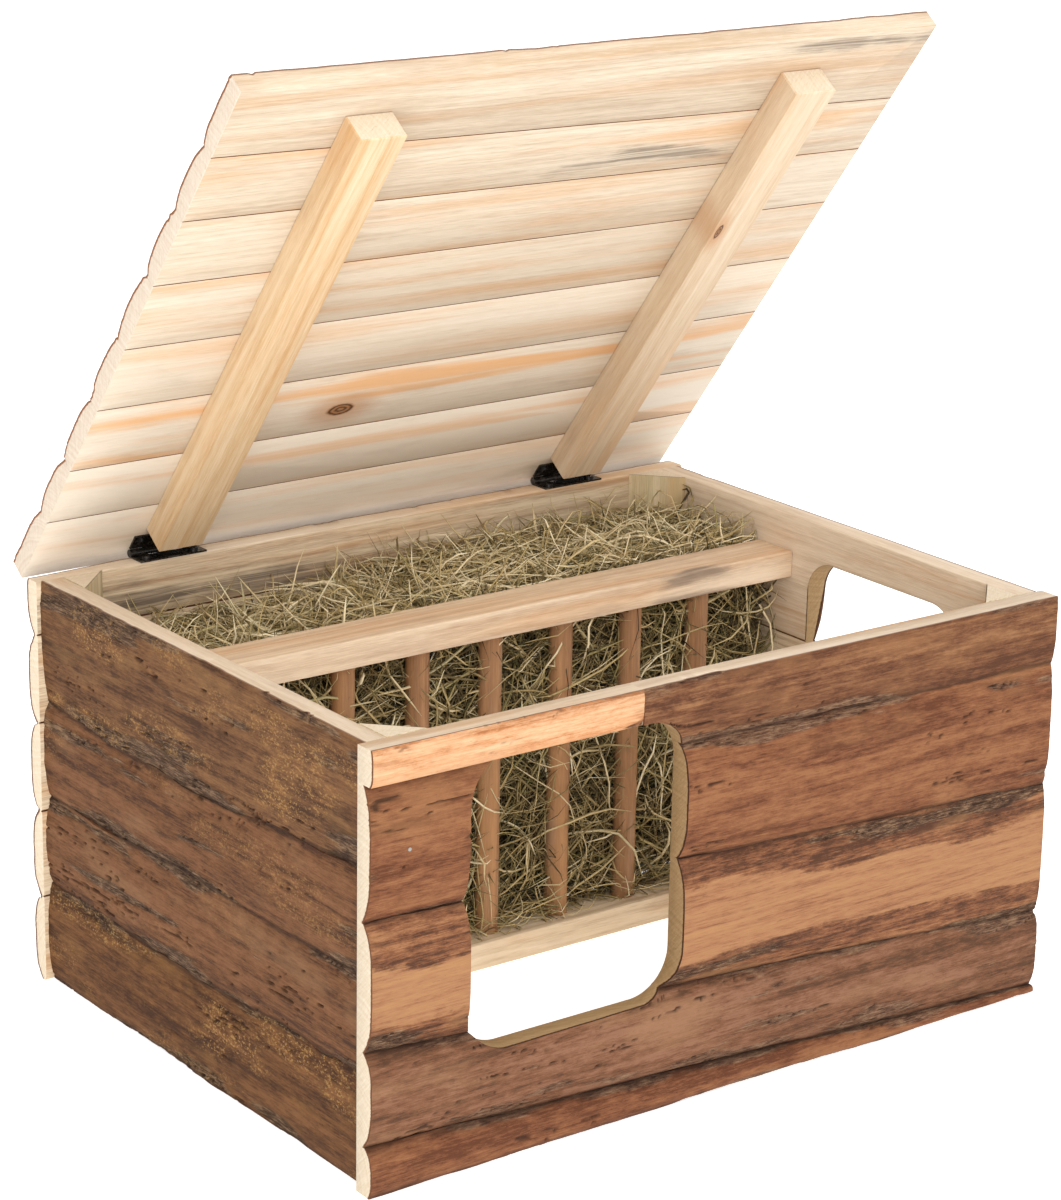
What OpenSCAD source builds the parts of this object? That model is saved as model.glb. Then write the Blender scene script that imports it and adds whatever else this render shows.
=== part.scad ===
// Hay rack feeder: a small bark-slab house without a floor, with a dowel hay rack
// inside, two animal doorways and a slab lid on two butt hinges.
// Millimetres. X runs along the front, from the blank side wall to the side wall
// with a doorway, Y runs from the front wall to the back wall, and Z is up.
// The origin is the centre of the bounding box's underside, with the lid standing open.

/* [House] */
// Width over the outer faces of the two side walls
house_w = 396; // [300:1:600]
// Clear depth between the inner faces of the front and back walls
inner_d = 278; // [230:1:420]
// Height of the walls
wall_h = 208; // [170:1:320]
// Thickness of a wall slab at its fattest line
slab_t = 13; // [11:0.5:20]
// How much thinner a wall slab is along its thinnest edge
slab_taper = 7; // [1:0.5:8]
// How far the front and back slabs run past each side wall
slab_over = 2; // [0:0.5:8]
// Leg of the triangular corner posts
post_leg = 22; // [16:1:34]

/* [Slab courses] */
// Front wall: joint heights at the blank side, as parts of the wall's height
front_seams_left = [0.1106, 0.3269, 0.6154, 0.9183]; // [0:0.0001:1]
// Front wall: joint heights at the doorway side wall, as parts of the wall's height
front_seams_right = [0.0192, 0.2115, 0.5337, 0.8365]; // [0:0.0001:1]
// Front wall: joint under the top slab where it meets the lintel, as a part of the height
front_top_seam = 0.8462; // [0.7:0.0001:0.9]
// Front wall: distance from the blank side wall to the butt joint beside the lintel
lintel_end = 143; // [60:1:260]
// Blank side wall: joint heights, as parts of the wall's height
left_seams = [0.25, 0.4712, 0.6875]; // [0:0.0001:1]
// Back wall: joint heights, as parts of the wall's height
back_seams = [0.2163, 0.4327, 0.6538, 0.8702]; // [0:0.0001:1]

/* [Doorways] */
// Front doorway: distance from the blank side wall's outer face
front_door_x = 50; // [36:1:120]
// Front doorway: width
front_door_w = 120; // [80:1:180]
// Front doorway: height of the sill above the ground
front_sill = 54; // [30:1:90]
// Front doorway: radius of its corners
front_door_r = 22; // [14:1:34]
// Side doorway: distance from the front wall's inner face
side_door_y = 43; // [28:1:80]
// Side doorway: width
side_door_w = 110; // [70:1:120]
// Side doorway: height of the sill above the ground
side_sill = 54; // [30:1:90]
// Side doorway: height of the wall left over it
side_header = 20; // [12:1:40]
// Side doorway: radius of its corners
side_door_r = 18; // [8:1:34]
// Side doorway wall: joints beside the doorway, as parts of the wall's height
side_door_seams = [0.4712, 0.6875]; // [0.4:0.0001:0.8]

/* [Hay rack] */
// Distance from the front wall's inner face to the rack's front face
rack_y = 166; // [120:1:260]
// Depth of a rack rail
rail_d = 27; // [20:1:40]
// Height of a rack rail
rail_h = 14; // [12:1:30]
// Distance from the wall tops down to the top rail
rail_drop = 19; // [16:1:60]
// Diameter of a dowel
dowel_d = 12; // [8:0.5:16]
// Number of dowels
dowel_count = 7; // [4:1:8]
// Spacing of the dowels
dowel_pitch = 44; // [24:1:50]
// Depth of the dowel sockets in the rails
socket_depth = 9; // [5:0.5:11]
// Clearance between the hay and the wood around it
hay_gap = 1.5; // [1:0.5:5]

/* [Lid] */
// Length of the lid from hinge edge to front edge
lid_l = 332; // [260:1:500]
// Thickness of a lid slab at its fattest line
lid_t = 11; // [9:0.5:16]
// How much thinner a lid slab is along its thinnest edge
lid_taper = 3.5; // [1:0.5:5]
// Seams between the lid slabs, as parts of the lid's length from its hinge edge
lid_seams = [0.125, 0.2452, 0.372, 0.5015, 0.628, 0.7515, 0.866]; // [0:0.0001:1]
// Width of a lid batten
batten_w = 25; // [18:1:40]
// Thickness of a lid batten
batten_t = 15; // [10:1:20]
// Distance from each end of the lid to the middle of its batten
batten_inset = 74; // [60:1:120]
// Length of a lid batten
batten_l = 289; // [200:1:420]
// Distance from the lid's hinge edge to its battens
batten_foot = 21; // [18:1:30]
// Angle at which the lid stands open
lid_open = 52.5; // [3:0.5:88]

/* [Hinges and fasteners] */
// Length of a butt hinge
hinge_l = 38; // [30:1:60]
// Width of one hinge leaf from the pin's axis
leaf_w = 11.5; // [10:0.5:13]
// Thickness of a hinge leaf
leaf_t = 0.9; // [0.8:0.1:1.5]
// Diameter of the hinge pin
pin_d = 2.2; // [2:0.1:3]
// Radial clearance between the pin and the lid leaf's knuckles
pin_gap = 0.05; // [0.02:0.01:0.1]
// How far the lid's hinge edge reaches past the pins
lid_overhang = 5; // [1:0.5:7]
// Distance from a batten's middle to its hinge's middle
hinge_shift = 1.5; // [0:0.5:6]
// Distance from a hinge's middle to each of its screws
screw_out = 13.5; // [10:0.5:24]
// Diameter of a hinge screw's shank
screw_d = 2.4; // [2:0.1:3]
// Diameter of a hinge screw's head
screw_head_d = 5; // [4:0.1:6]
// Height of a hinge screw's head
screw_head_h = 1.1; // [0.8:0.1:1.1]
// Length of a hinge screw in the wood
screw_l = 6; // [4:0.5:6.5]
// Diameter of the brads
brad_d = 1.8; // [1.2:0.1:2.5]
// How deep the brads are set below the bark
brad_set = 2; // [1:0.5:4]

/* [Hidden] */
lid_slabs = len(lid_seams) + 1;

NODES = [
  "front_lintel", "front_top_slab", "front_upper_slab_left", "front_upper_slab_right",
  "front_middle_slab_left", "front_middle_slab_right", "front_low_slab", "front_base_slab",
  "left_base_slab", "left_low_slab", "left_middle_slab", "left_top_slab",
  "right_base_slab", "right_low_slab_front", "right_low_slab_rear",
  "right_middle_slab_front", "right_middle_slab_rear", "right_top_slab",
  "back_base_slab", "back_low_slab", "back_middle_slab", "back_upper_slab", "back_top_slab",
  "post_front_left", "post_front_right", "post_back_left", "post_back_right",
  "rack_top_rail", "rack_bottom_rail",
  for (i = [1:dowel_count]) str("rack_dowel_", i),
  "hay",
  for (i = [1:lid_slabs]) str("lid_slab_", i),
  "lid_batten_left", "lid_batten_right",
  "hinge_left_house_leaf", "hinge_left_lid_leaf", "hinge_left_pin",
  "hinge_right_house_leaf", "hinge_right_lid_leaf", "hinge_right_pin",
  "hinge_house_screws", "hinge_lid_screws",
  "wall_brads", "rack_brads", "lid_brads"
];
node = "all";

// Facets of slab backs, of dowels and of small round metal
slab_fn = 240;
round_fn = 48;
small_fn = 32;
door_fn = 96;
// Overlap that makes a cut pass right through
cut = 1;

// Wall places in the house frame: X from the blank side wall's outer face,
// Y from the front wall's inner face
wall_x0 = -slab_over;
wall_x1 = house_w + slab_over;
inner_x0 = slab_t;
inner_x1 = house_w - slab_t;
rail_top_z = wall_h - rail_drop;
dowel_y = rack_y + rail_d / 2;
first_dowel_x = house_w / 2 - (dowel_count - 1) / 2 * dowel_pitch;
front_joints_left = front_seams_left * wall_h;
front_joints_right = front_seams_right * wall_h;
front_top_joint = front_top_seam * wall_h;
front_door_top = front_joints_left[3];

// Hinge: a leaf's back lies one knuckle radius from the pin's axis
knuckle_r = pin_d / 2 + leaf_t;
knuckles = 5;
knuckle_l = hinge_l / knuckles;
knuckle_gap = 0.3;
knuckle_play = 0.25;
hinge_set_in = 2;
axis_y = inner_d + slab_t - hinge_set_in;
axis_z = wall_h + knuckle_r;
screw_from_axis = leaf_w / 2 + 1;
screw_play = 0.4;
screw_slot = 0.8;

// Fattest lines: how far across the lid's first and last slab from their seam with the
// next slab, and how far down a wall's top course
lid_edge_fat = 0.7;
top_course_fat = 0.2;
front_top_fat = 1 / 3;

// Shut lid, in the house frame
lid_z = axis_z + knuckle_r;
lid_back_y = axis_y + lid_overhang;
lid_edges = [0, for (s = lid_seams) s * lid_l, lid_l];
batten_y1 = lid_back_y - batten_foot;
batten_y0 = batten_y1 - batten_l;
batten_x = [batten_inset, house_w - batten_inset];
hinge_x = [for (x = batten_x) x + hinge_shift];

// Origin: the middle of the bounding box, with the lid open. The lid's hinge edge reaches
// farthest back, where its first slab is a little thinner than at its fattest.
box_front_y = -slab_t;
lid_edge_t = edge_t(lid_edges[1], lid_fat(1), lid_t, lid_taper);
lid_back_reach = (lid_z + lid_edge_t - axis_z) * sin(lid_open) + lid_overhang * cos(lid_open);
box_back_y = max(inner_d + slab_t, axis_y + lid_back_reach);
origin_x = house_w / 2;
origin_y = (box_front_y + box_back_y) / 2;

// Brads: how far in they stand from the corner, and how far past the slab they reach.
// Those of two walls never meet, because they cross the post on different lines.
brad_front_in = 5;
brad_front_tip = post_leg / 2;
brad_side_in = post_leg * 0.64;
brad_side_tip = post_leg * 0.27;
brad_rail_tip = 15;
brad_batten_tip = batten_t - 3;
brad_batten_edge = 8;

bark = "#7b4a30";
peeled = "#c98d5c";
planed = "#e6cda6";
warm_wood = "#dcae74";
dowel_wood = "#c79a70";
black_paint = "#1d1b1a";
nail_steel = "#8f8f8c";
hay_green = "#8c7f4c";

// ---- placing ----

module in_house() { translate([-origin_x, -origin_y, 0]) children(); }

// Pieces of the lid are drawn level, with the lid shut, and turned about the hinge pins
module on_lid()
  in_house()
    translate([0, axis_y, axis_z])
      rotate([-lid_open, 0, 0])
        translate([0, -axis_y, -axis_z])
          children();

// The four walls are drawn facing -Y with the inner face on Y = 0, then turned into place
module at_back() { translate([house_w, inner_d, 0]) rotate([0, 0, 180]) children(); }
module at_left() { translate([slab_t, inner_d, 0]) rotate([0, 0, -90]) children(); }
module at_right() { translate([house_w - slab_t, 0, 0]) rotate([0, 0, 90]) children(); }

// ---- slabs, doorways and brads ----

// Radius of a slab's round back, whose thickness falls by taper at its farther edge
function back_r(low, high, fat, taper) =
  let (reach = max(fat - low, high - fat)) reach * reach / (2 * taper) + taper / 2;

// Thickness left at the upper edge of a slab that is high tall
function edge_t(high, fat, t, taper) =
  let (r = back_r(0, high, fat, taper)) t - r + sqrt(r * r - (high - fat) * (high - fat));

function plank(x0, x1, z0, z1) = [[x0, z0], [x1, z0], [x1, z1], [x0, z1]];

// Slab from an outline in X and Z between the heights low and high. Its inner face is
// flat on Y = 0, and its round back faces -Y and is fattest at the height fat.
module slab(outline, low, high, fat, t = slab_t, taper = slab_taper) {
  r = back_r(low, high, fat, taper);
  x0 = min([for (p = outline) p[0]]);
  x1 = max([for (p = outline) p[0]]);
  intersection() {
    rotate([90, 0, 0]) linear_extrude(t + cut) polygon(outline);
    translate([x0 - cut, r - t, fat])
      rotate([0, 90, 0]) cylinder(r = r, h = x1 - x0 + 2 * cut, $fn = slab_fn);
  }
}

// Rounded opening through a wall
module doorway(x, w, z0, z1, r)
  translate([0, slab_t, 0]) rotate([90, 0, 0]) linear_extrude(3 * slab_t) {
    translate([x + r, z0]) square([w - 2 * r, z1 - z0]);
    translate([x, z0 + r]) square([w, z1 - z0 - 2 * r]);
    for (cx = [x + r, x + w - r], cz = [z0 + r, z1 - r])
      translate([cx, cz]) circle(r = r, $fn = door_fn);
  }

// Brad driven through a wall slab at x and z, from start to tip
module brad(x, z, tip, start = brad_set - slab_t)
  translate([x, start, z]) rotate([-90, 0, 0]) cylinder(d = brad_d, h = tip - start, $fn = small_fn);

module brad_hole(x, z, tip) brad(x, z, tip, -slab_t - cut);

// ---- front wall ----

// Height of front joint i at x; joint -1 is the ground
function front_joint(i, x) =
  i < 0 ? 0 : front_joints_left[i]
  + (front_joints_right[i] - front_joints_left[i]) * (x - wall_x0) / (wall_x1 - wall_x0);

function front_mid(i, j, x) = (front_joint(i, x) + front_joint(j, x)) / 2;

front_door_mid = front_door_x + front_door_w / 2;
front_nail_left = inner_x0 + brad_front_in;
front_nail_right = inner_x1 - brad_front_in;
lintel_fat = (front_door_top + wall_h) / 2;
top_slab_fat = wall_h - (wall_h - front_joints_right[3]) * front_top_fat;
upper_left_fat = (front_joint(2, wall_x0) + front_door_top) / 2;
upper_right_fat = (front_joints_right[2] + front_joints_right[3]) / 2;

// Places of the front brads, each X and Z
front_brads = [
  [front_nail_left, lintel_fat],
  [front_nail_right, top_slab_fat],
  [front_nail_left, upper_left_fat],
  [front_nail_right, upper_right_fat],
  [front_nail_left, front_mid(1, 2, front_nail_left)],
  [front_nail_right, front_mid(1, 2, front_nail_right)],
  [front_nail_left, front_mid(0, 1, front_nail_left)],
  [front_nail_right, front_mid(0, 1, front_nail_right)],
  [front_nail_left, front_mid(-1, 0, front_nail_left)]
];

// Cuts the doorway and the brads' holes out of a front slab
module front_cuts() {
  difference() {
    children();
    doorway(front_door_x, front_door_w, front_sill, front_door_top, front_door_r);
    for (b = front_brads) brad_hole(b[0], b[1], brad_front_tip);
  }
}

// Front slab between joints i and j, from x0 to x1
module front_course(i, j, x0, x1, taper = slab_taper)
  front_cuts()
    slab([[x0, front_joint(i, x0)], [x1, front_joint(i, x1)],
          [x1, front_joint(j, x1)], [x0, front_joint(j, x0)]],
         min(front_joint(i, x0), front_joint(i, x1)),
         max(front_joint(j, x0), front_joint(j, x1)),
         front_mid(i, j, (x0 + x1) / 2), taper = taper);

module front_lintel() color(peeled) in_house() front_cuts()
  slab(plank(wall_x0, lintel_end, front_door_top, wall_h), front_door_top, wall_h,
       lintel_fat, taper = slab_taper / 2);

module front_top_slab() color(bark) in_house() front_cuts()
  slab([[lintel_end, front_top_joint], [wall_x1, front_joints_right[3]],
        [wall_x1, wall_h], [lintel_end, wall_h]],
       front_joints_right[3], wall_h, top_slab_fat);

module front_upper_slab_left() color(bark) in_house() front_cuts()
  slab([[wall_x0, front_joint(2, wall_x0)], [front_door_mid, front_joint(2, front_door_mid)],
        [front_door_mid, front_door_top], [wall_x0, front_door_top]],
       front_joint(2, front_door_mid), front_door_top, upper_left_fat);

module front_upper_slab_right() color(bark) in_house() front_cuts()
  slab([[lintel_end, front_joint(2, lintel_end)], [wall_x1, front_joints_right[2]],
        [wall_x1, front_joints_right[3]], [lintel_end, front_top_joint]],
       front_joints_right[2], front_top_joint, upper_right_fat);

module front_middle_slab_left() color(peeled) in_house()
  front_course(1, 2, wall_x0, front_door_mid);

module front_middle_slab_right() color(peeled) in_house()
  front_course(1, 2, front_door_mid, wall_x1);

module front_low_slab() color(bark) in_house() front_course(0, 1, wall_x0, wall_x1);

module front_base_slab() color(bark) in_house()
  front_course(-1, 0, wall_x0, wall_x1, slab_taper / 2);

// ---- level courses of the other walls ----

// Fattest height of a level course; a top course is fattest near its planed top edge
function fat_z(z0, z1) = z1 >= wall_h ? z1 - (z1 - z0) * top_course_fat : (z0 + z1) / 2;

left_z = concat([0], left_seams * wall_h, [wall_h]);
right_z = concat([0, side_sill], side_door_seams * wall_h, [wall_h]);
back_z = concat([0], back_seams * wall_h, [wall_h]);
side_door_top = wall_h - side_header;
side_door_mid = side_door_y + side_door_w / 2;
side_brad_x = [brad_side_in, inner_d - brad_side_in];
rail_z = [0, rail_top_z - rail_h];

// Holes for the brads that hold the rails' ends, in a side wall
module rail_brad_holes(x) for (z = rail_z) brad_hole(x, z + rail_h / 2, cut);

module level_course(z, i, x0, x1, brad_x, tip)
  let (fat = fat_z(z[i], z[i + 1]))
  difference() {
    slab(plank(x0, x1, z[i], z[i + 1]), z[i], z[i + 1], fat);
    for (x = brad_x) brad_hole(x, fat, tip);
  }

// Side walls stand between the front and back walls
module left_course(i) color(bark) in_house() at_left() difference() {
  level_course(left_z, i, 0, inner_d, side_brad_x, brad_side_tip);
  rail_brad_holes(inner_d - dowel_y);
}

module right_course(i, x0, x1) color(bark) in_house() at_right() difference() {
  level_course(right_z, i, x0, x1, side_brad_x, brad_side_tip);
  doorway(side_door_y, side_door_w, side_sill, side_door_top, side_door_r);
  rail_brad_holes(dowel_y);
}

module back_course(i) color(bark) in_house() difference() {
  at_back()
    level_course(back_z, i, wall_x0, wall_x1, [front_nail_left, front_nail_right], brad_front_tip);
  house_screws();
}

// ---- corner posts ----

module post(x, y, turn) color(planed) in_house() difference() {
  translate([x, y, 0]) rotate([0, 0, turn])
    linear_extrude(wall_h) polygon([[0, 0], [post_leg, 0], [0, post_leg]]);
  wall_brad_rows();
}

module level_brads(z, brad_x, tip)
  for (i = [0:len(z) - 2], x = brad_x) brad(x, fat_z(z[i], z[i + 1]), tip);

module wall_brad_rows() {
  for (b = front_brads) brad(b[0], b[1], brad_front_tip);
  at_back() level_brads(back_z, [front_nail_left, front_nail_right], brad_front_tip);
  at_left() level_brads(left_z, side_brad_x, brad_side_tip);
  at_right() level_brads(right_z, side_brad_x, brad_side_tip);
}

module wall_brads() color(nail_steel) in_house() wall_brad_rows();

// ---- rack ----

module one_dowel(i)
  translate([first_dowel_x + i * dowel_pitch, dowel_y, rail_h - socket_depth])
    cylinder(d = dowel_d, h = rail_top_z - 2 * rail_h + 2 * socket_depth, $fn = round_fn);

// Brads through the side walls into the rails' ends, set deeper where the bark curves away
module rail_brad_rows() {
  start = brad_set + slab_taper / 2 - slab_t;
  for (z = rail_z) {
    at_left() brad(inner_d - dowel_y, z + rail_h / 2, brad_rail_tip, start);
    at_right() brad(dowel_y, z + rail_h / 2, brad_rail_tip, start);
  }
}

module rail(z) in_house() difference() {
  translate([inner_x0, rack_y, z]) cube([inner_x1 - inner_x0, rail_d, rail_h]);
  for (i = [0:dowel_count - 1]) one_dowel(i);
  rail_brad_rows();
}

module rack_top_rail() color(planed) rail(rail_z[1]);
module rack_bottom_rail() color(dowel_wood) rail(rail_z[0]);
module rack_dowel(i) color(dowel_wood) in_house() one_dowel(i - 1);
module rack_brads() color(nail_steel) in_house() rail_brad_rows();

// ---- hay ----

// The hay fills the bay behind the rails and bulges towards the dowels between them
module hay() color(hay_green) in_house() intersection() {
  rotate([90, 0, 90]) linear_extrude(house_w)
    polygon([[hay_front, hay_foot], [hay_back, hay_foot], [hay_back, hay_top],
             [hay_front, hay_top], [hay_front, hay_high], [hay_bulge, hay_high],
             [hay_bulge, hay_low], [hay_front, hay_low]]);
  linear_extrude(wall_h)
    polygon([[inner_x0 + hay_gap, rack_y], [inner_x1 - hay_gap, rack_y],
             [inner_x1 - hay_gap, inner_d - hay_corner], [inner_x1 - hay_corner, inner_d],
             [inner_x0 + hay_corner, inner_d], [inner_x0 + hay_gap, inner_d - hay_corner]]);
}

hay_back = inner_d - hay_gap;
hay_front = rack_y + rail_d + hay_gap;
hay_bulge = dowel_y + dowel_d / 2 + hay_gap;
hay_foot = 1;
hay_below_rail = 3;
hay_low = rail_h + hay_gap;
hay_high = rail_top_z - rail_h - hay_gap;
hay_top = rail_top_z - hay_below_rail;
hay_corner = post_leg + 2 * hay_gap;

// ---- lid ----

// Slab 1 is at the hinges. A slab's round back faces up while the lid is shut. The
// first and last slabs are cut square at the lid's edges, so they are fattest there.
function lid_slab_w(i) = lid_edges[i] - lid_edges[i - 1];
function lid_fat(i) =
  lid_slab_w(i) * (i == 1 ? lid_edge_fat : i == lid_slabs ? 1 - lid_edge_fat : 0.5);

module lid_slab(i) color(bark) on_lid() difference() {
  translate([0, lid_back_y - lid_edges[i], lid_z]) rotate([-90, 0, 0])
    slab(plank(0, house_w, 0, lid_slab_w(i)), 0, lid_slab_w(i), lid_fat(i), lid_t, lid_taper);
  lid_brad_rows();
  lid_screws();
}

module lid_batten(x) color(warm_wood) on_lid() difference() {
  translate([x - batten_w / 2, batten_y0, lid_z - batten_t]) cube([batten_w, batten_l, batten_t]);
  lid_brad_rows();
}

// One brad a slab in each batten, kept clear of the batten's ends
module lid_brad_rows() {
  low = lid_z - brad_batten_tip;
  high = lid_z + lid_t - brad_set;
  for (x = batten_x, i = [1:lid_slabs]) {
    y = min(max(lid_back_y - (lid_edges[i - 1] + lid_edges[i]) / 2, batten_y0 + brad_batten_edge),
            batten_y1 - brad_batten_edge);
    translate([x, y, low]) cylinder(d = brad_d, h = high - low, $fn = small_fn);
  }
}

module lid_brads() color(nail_steel) on_lid() lid_brad_rows();

// ---- hinges, drawn shut ----

module knuckle(x, k, r) translate([x - hinge_l / 2 + k * knuckle_l, axis_y, axis_z])
  rotate([0, 90, 0]) cylinder(r = r, h = knuckle_l - knuckle_gap, $fn = round_fn);

// Leaf whose plate lies from z up, with the knuckles own, clear of the other leaf's
module leaf(x, z, own, other, bore_r, barrel_r = knuckle_r) difference() {
  union() {
    translate([x - hinge_l / 2, axis_y - leaf_w, z])
      cube([hinge_l - knuckle_gap, leaf_w - knuckle_r / 2, leaf_t]);
    for (k = own) knuckle(x, k, barrel_r);
  }
  for (k = other)
    translate([x - hinge_l / 2 + k * knuckle_l - knuckle_gap,
               axis_y - knuckle_r - knuckle_gap, axis_z - 2 * knuckle_r])
      cube([knuckle_l + knuckle_gap, 3 * knuckle_r, 4 * knuckle_r]);
  translate([x - hinge_l, axis_y, axis_z])
    rotate([0, 90, 0]) cylinder(r = bore_r, h = 2 * hinge_l, $fn = round_fn);
  for (sx = [-screw_out, screw_out])
    translate([x + sx, axis_y - screw_from_axis, z - cut])
      cylinder(d = screw_d + screw_play, h = leaf_t + 2 * cut, $fn = small_fn);
}

module house_leaf(x) color(black_paint) in_house() leaf(x, wall_h, [0, 2, 4], [1, 3], pin_d / 2);
// The lid leaf's knuckles are a little thinner, so that they turn clear of the wall's top
module lid_leaf(x) color(black_paint) on_lid()
  leaf(x, lid_z - leaf_t, [1, 3], [0, 2, 4], pin_d / 2 + pin_gap, knuckle_r - knuckle_play);

module pin(x) color(black_paint) in_house()
  translate([x - hinge_l / 2, axis_y, axis_z])
    rotate([0, 90, 0]) cylinder(d = pin_d, h = hinge_l - knuckle_gap, $fn = round_fn);

// Round-headed screw at the origin, with its head above Z = 0 and a cross recess in it
module screw() {
  difference() {
    union() {
      cylinder(d = screw_head_d, h = screw_head_h, $fn = small_fn);
      translate([0, 0, -leaf_t - screw_l])
        cylinder(d = screw_d, h = leaf_t + screw_l + cut / 2, $fn = small_fn);
    }
    for (turn = [0, 90])
      rotate([0, 0, turn]) translate([-screw_head_d / 4, -screw_slot / 2, screw_head_h / 2])
        cube([screw_head_d / 2, screw_slot, screw_head_h]);
  }
}

module house_screws()
  for (x = hinge_x, sx = [-screw_out, screw_out])
    translate([x + sx, axis_y - screw_from_axis, wall_h + leaf_t]) screw();

module lid_screws()
  for (x = hinge_x, sx = [-screw_out, screw_out])
    translate([x + sx, axis_y - screw_from_axis, lid_z - leaf_t]) rotate([180, 0, 0]) screw();

module hinge_house_screws() color(black_paint) in_house() house_screws();
module hinge_lid_screws() color(black_paint) on_lid() lid_screws();

// ---- nodes ----

function wanted(name) = node == "all" || node == name;

if (wanted("front_lintel")) front_lintel();
if (wanted("front_top_slab")) front_top_slab();
if (wanted("front_upper_slab_left")) front_upper_slab_left();
if (wanted("front_upper_slab_right")) front_upper_slab_right();
if (wanted("front_middle_slab_left")) front_middle_slab_left();
if (wanted("front_middle_slab_right")) front_middle_slab_right();
if (wanted("front_low_slab")) front_low_slab();
if (wanted("front_base_slab")) front_base_slab();

if (wanted("left_base_slab")) left_course(0);
if (wanted("left_low_slab")) left_course(1);
if (wanted("left_middle_slab")) left_course(2);
if (wanted("left_top_slab")) left_course(3);

if (wanted("right_base_slab")) right_course(0, 0, inner_d);
if (wanted("right_low_slab_front")) right_course(1, 0, side_door_mid);
if (wanted("right_low_slab_rear")) right_course(1, side_door_mid, inner_d);
if (wanted("right_middle_slab_front")) right_course(2, 0, side_door_mid);
if (wanted("right_middle_slab_rear")) right_course(2, side_door_mid, inner_d);
if (wanted("right_top_slab")) right_course(3, 0, inner_d);

if (wanted("back_base_slab")) back_course(0);
if (wanted("back_low_slab")) back_course(1);
if (wanted("back_middle_slab")) back_course(2);
if (wanted("back_upper_slab")) back_course(3);
if (wanted("back_top_slab")) back_course(4);

if (wanted("post_front_left")) post(inner_x0, 0, 0);
if (wanted("post_front_right")) post(inner_x1, 0, 90);
if (wanted("post_back_right")) post(inner_x1, inner_d, 180);
if (wanted("post_back_left")) post(inner_x0, inner_d, 270);

if (wanted("rack_top_rail")) rack_top_rail();
if (wanted("rack_bottom_rail")) rack_bottom_rail();
for (i = [1:dowel_count]) if (wanted(str("rack_dowel_", i))) rack_dowel(i);
if (wanted("hay")) hay();

for (i = [1:lid_slabs]) if (wanted(str("lid_slab_", i))) lid_slab(i);
if (wanted("lid_batten_left")) lid_batten(batten_x[0]);
if (wanted("lid_batten_right")) lid_batten(batten_x[1]);

if (wanted("hinge_left_house_leaf")) house_leaf(hinge_x[0]);
if (wanted("hinge_left_lid_leaf")) lid_leaf(hinge_x[0]);
if (wanted("hinge_left_pin")) pin(hinge_x[0]);
if (wanted("hinge_right_house_leaf")) house_leaf(hinge_x[1]);
if (wanted("hinge_right_lid_leaf")) lid_leaf(hinge_x[1]);
if (wanted("hinge_right_pin")) pin(hinge_x[1]);
if (wanted("hinge_house_screws")) hinge_house_screws();
if (wanted("hinge_lid_screws")) hinge_lid_screws();

if (wanted("wall_brads")) wall_brads();
if (wanted("rack_brads")) rack_brads();
if (wanted("lid_brads")) lid_brads();
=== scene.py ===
"""Hay rack feeder: bark slabs, planed wood, dowels, loose hay and black butt hinges.

Every piece is worked out in millimetres in the house frame (X from the blank side wall's
outer face, Y from the front wall's inner face, Z up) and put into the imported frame, in
metres, at the end. A wall or the lid has its own flat coordinates: s along the slabs,
t across them and d outwards from the planed inner face.
"""
import math

import bpy
import numpy as np
from mathutils import Matrix, Vector


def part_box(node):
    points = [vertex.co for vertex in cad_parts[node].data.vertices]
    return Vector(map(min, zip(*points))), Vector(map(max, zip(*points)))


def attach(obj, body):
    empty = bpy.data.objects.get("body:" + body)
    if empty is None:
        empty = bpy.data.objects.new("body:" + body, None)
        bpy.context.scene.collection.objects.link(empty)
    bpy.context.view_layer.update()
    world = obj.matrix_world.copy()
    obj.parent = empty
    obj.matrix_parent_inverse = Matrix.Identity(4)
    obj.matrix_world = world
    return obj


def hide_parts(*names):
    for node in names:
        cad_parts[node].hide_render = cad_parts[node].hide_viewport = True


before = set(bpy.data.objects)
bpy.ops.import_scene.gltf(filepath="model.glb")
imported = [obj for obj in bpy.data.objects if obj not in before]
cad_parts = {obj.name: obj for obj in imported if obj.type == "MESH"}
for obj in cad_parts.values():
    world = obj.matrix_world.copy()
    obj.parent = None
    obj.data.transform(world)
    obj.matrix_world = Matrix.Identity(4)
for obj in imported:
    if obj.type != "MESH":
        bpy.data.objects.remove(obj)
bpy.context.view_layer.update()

# ---- sizes, in millimetres ----

HOUSE_W, INNER_D, WALL_H, SLAB_T, OVER = 396.0, 278.0, 208.0, 13.0, 2.0
LID_L, LID_OPEN = 332.0, math.radians(52.5)
AXIS_Y, AXIS_Z = 289.0, 210.0
LID_Z, LID_BACK_Y = 212.0, 294.0
POST_LEG = 22.0
# How far the lid's first board reaches past the lid's hinge edge, to leave no gap behind the back wall
LID_LAP = 2.6
# Where the lintel meets the front wall's top slab
LINTEL_END = 143.0
RACK_Y, RAIL_D, RAIL_H, RAIL_TOP = 166.0, 27.0, 14.0, 189.0
DOWEL_D, DOWELS, DOWEL_PITCH = 12.0, 7, 44.0
DOWEL_Y = RACK_Y + RAIL_D / 2
FRONT_DOOR = (50.0, 170.0, 54.0, 191.0, 22.0)
SIDE_DOOR = (43.0, 153.0, 54.0, 188.0, 18.0)

lintel_low, lintel_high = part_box("front_lintel")
ORIGIN = np.array([-lintel_low[0] * 1000 - OVER, -lintel_high[1] * 1000, 0.0])


def to_row(points):
    """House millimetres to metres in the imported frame."""
    return (points - ORIGIN) / 1000


# ---- placing: (s, t, d) to the house frame ----


def on_front(s, t, d):
    return np.stack([s, -d, t], -1)


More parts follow.
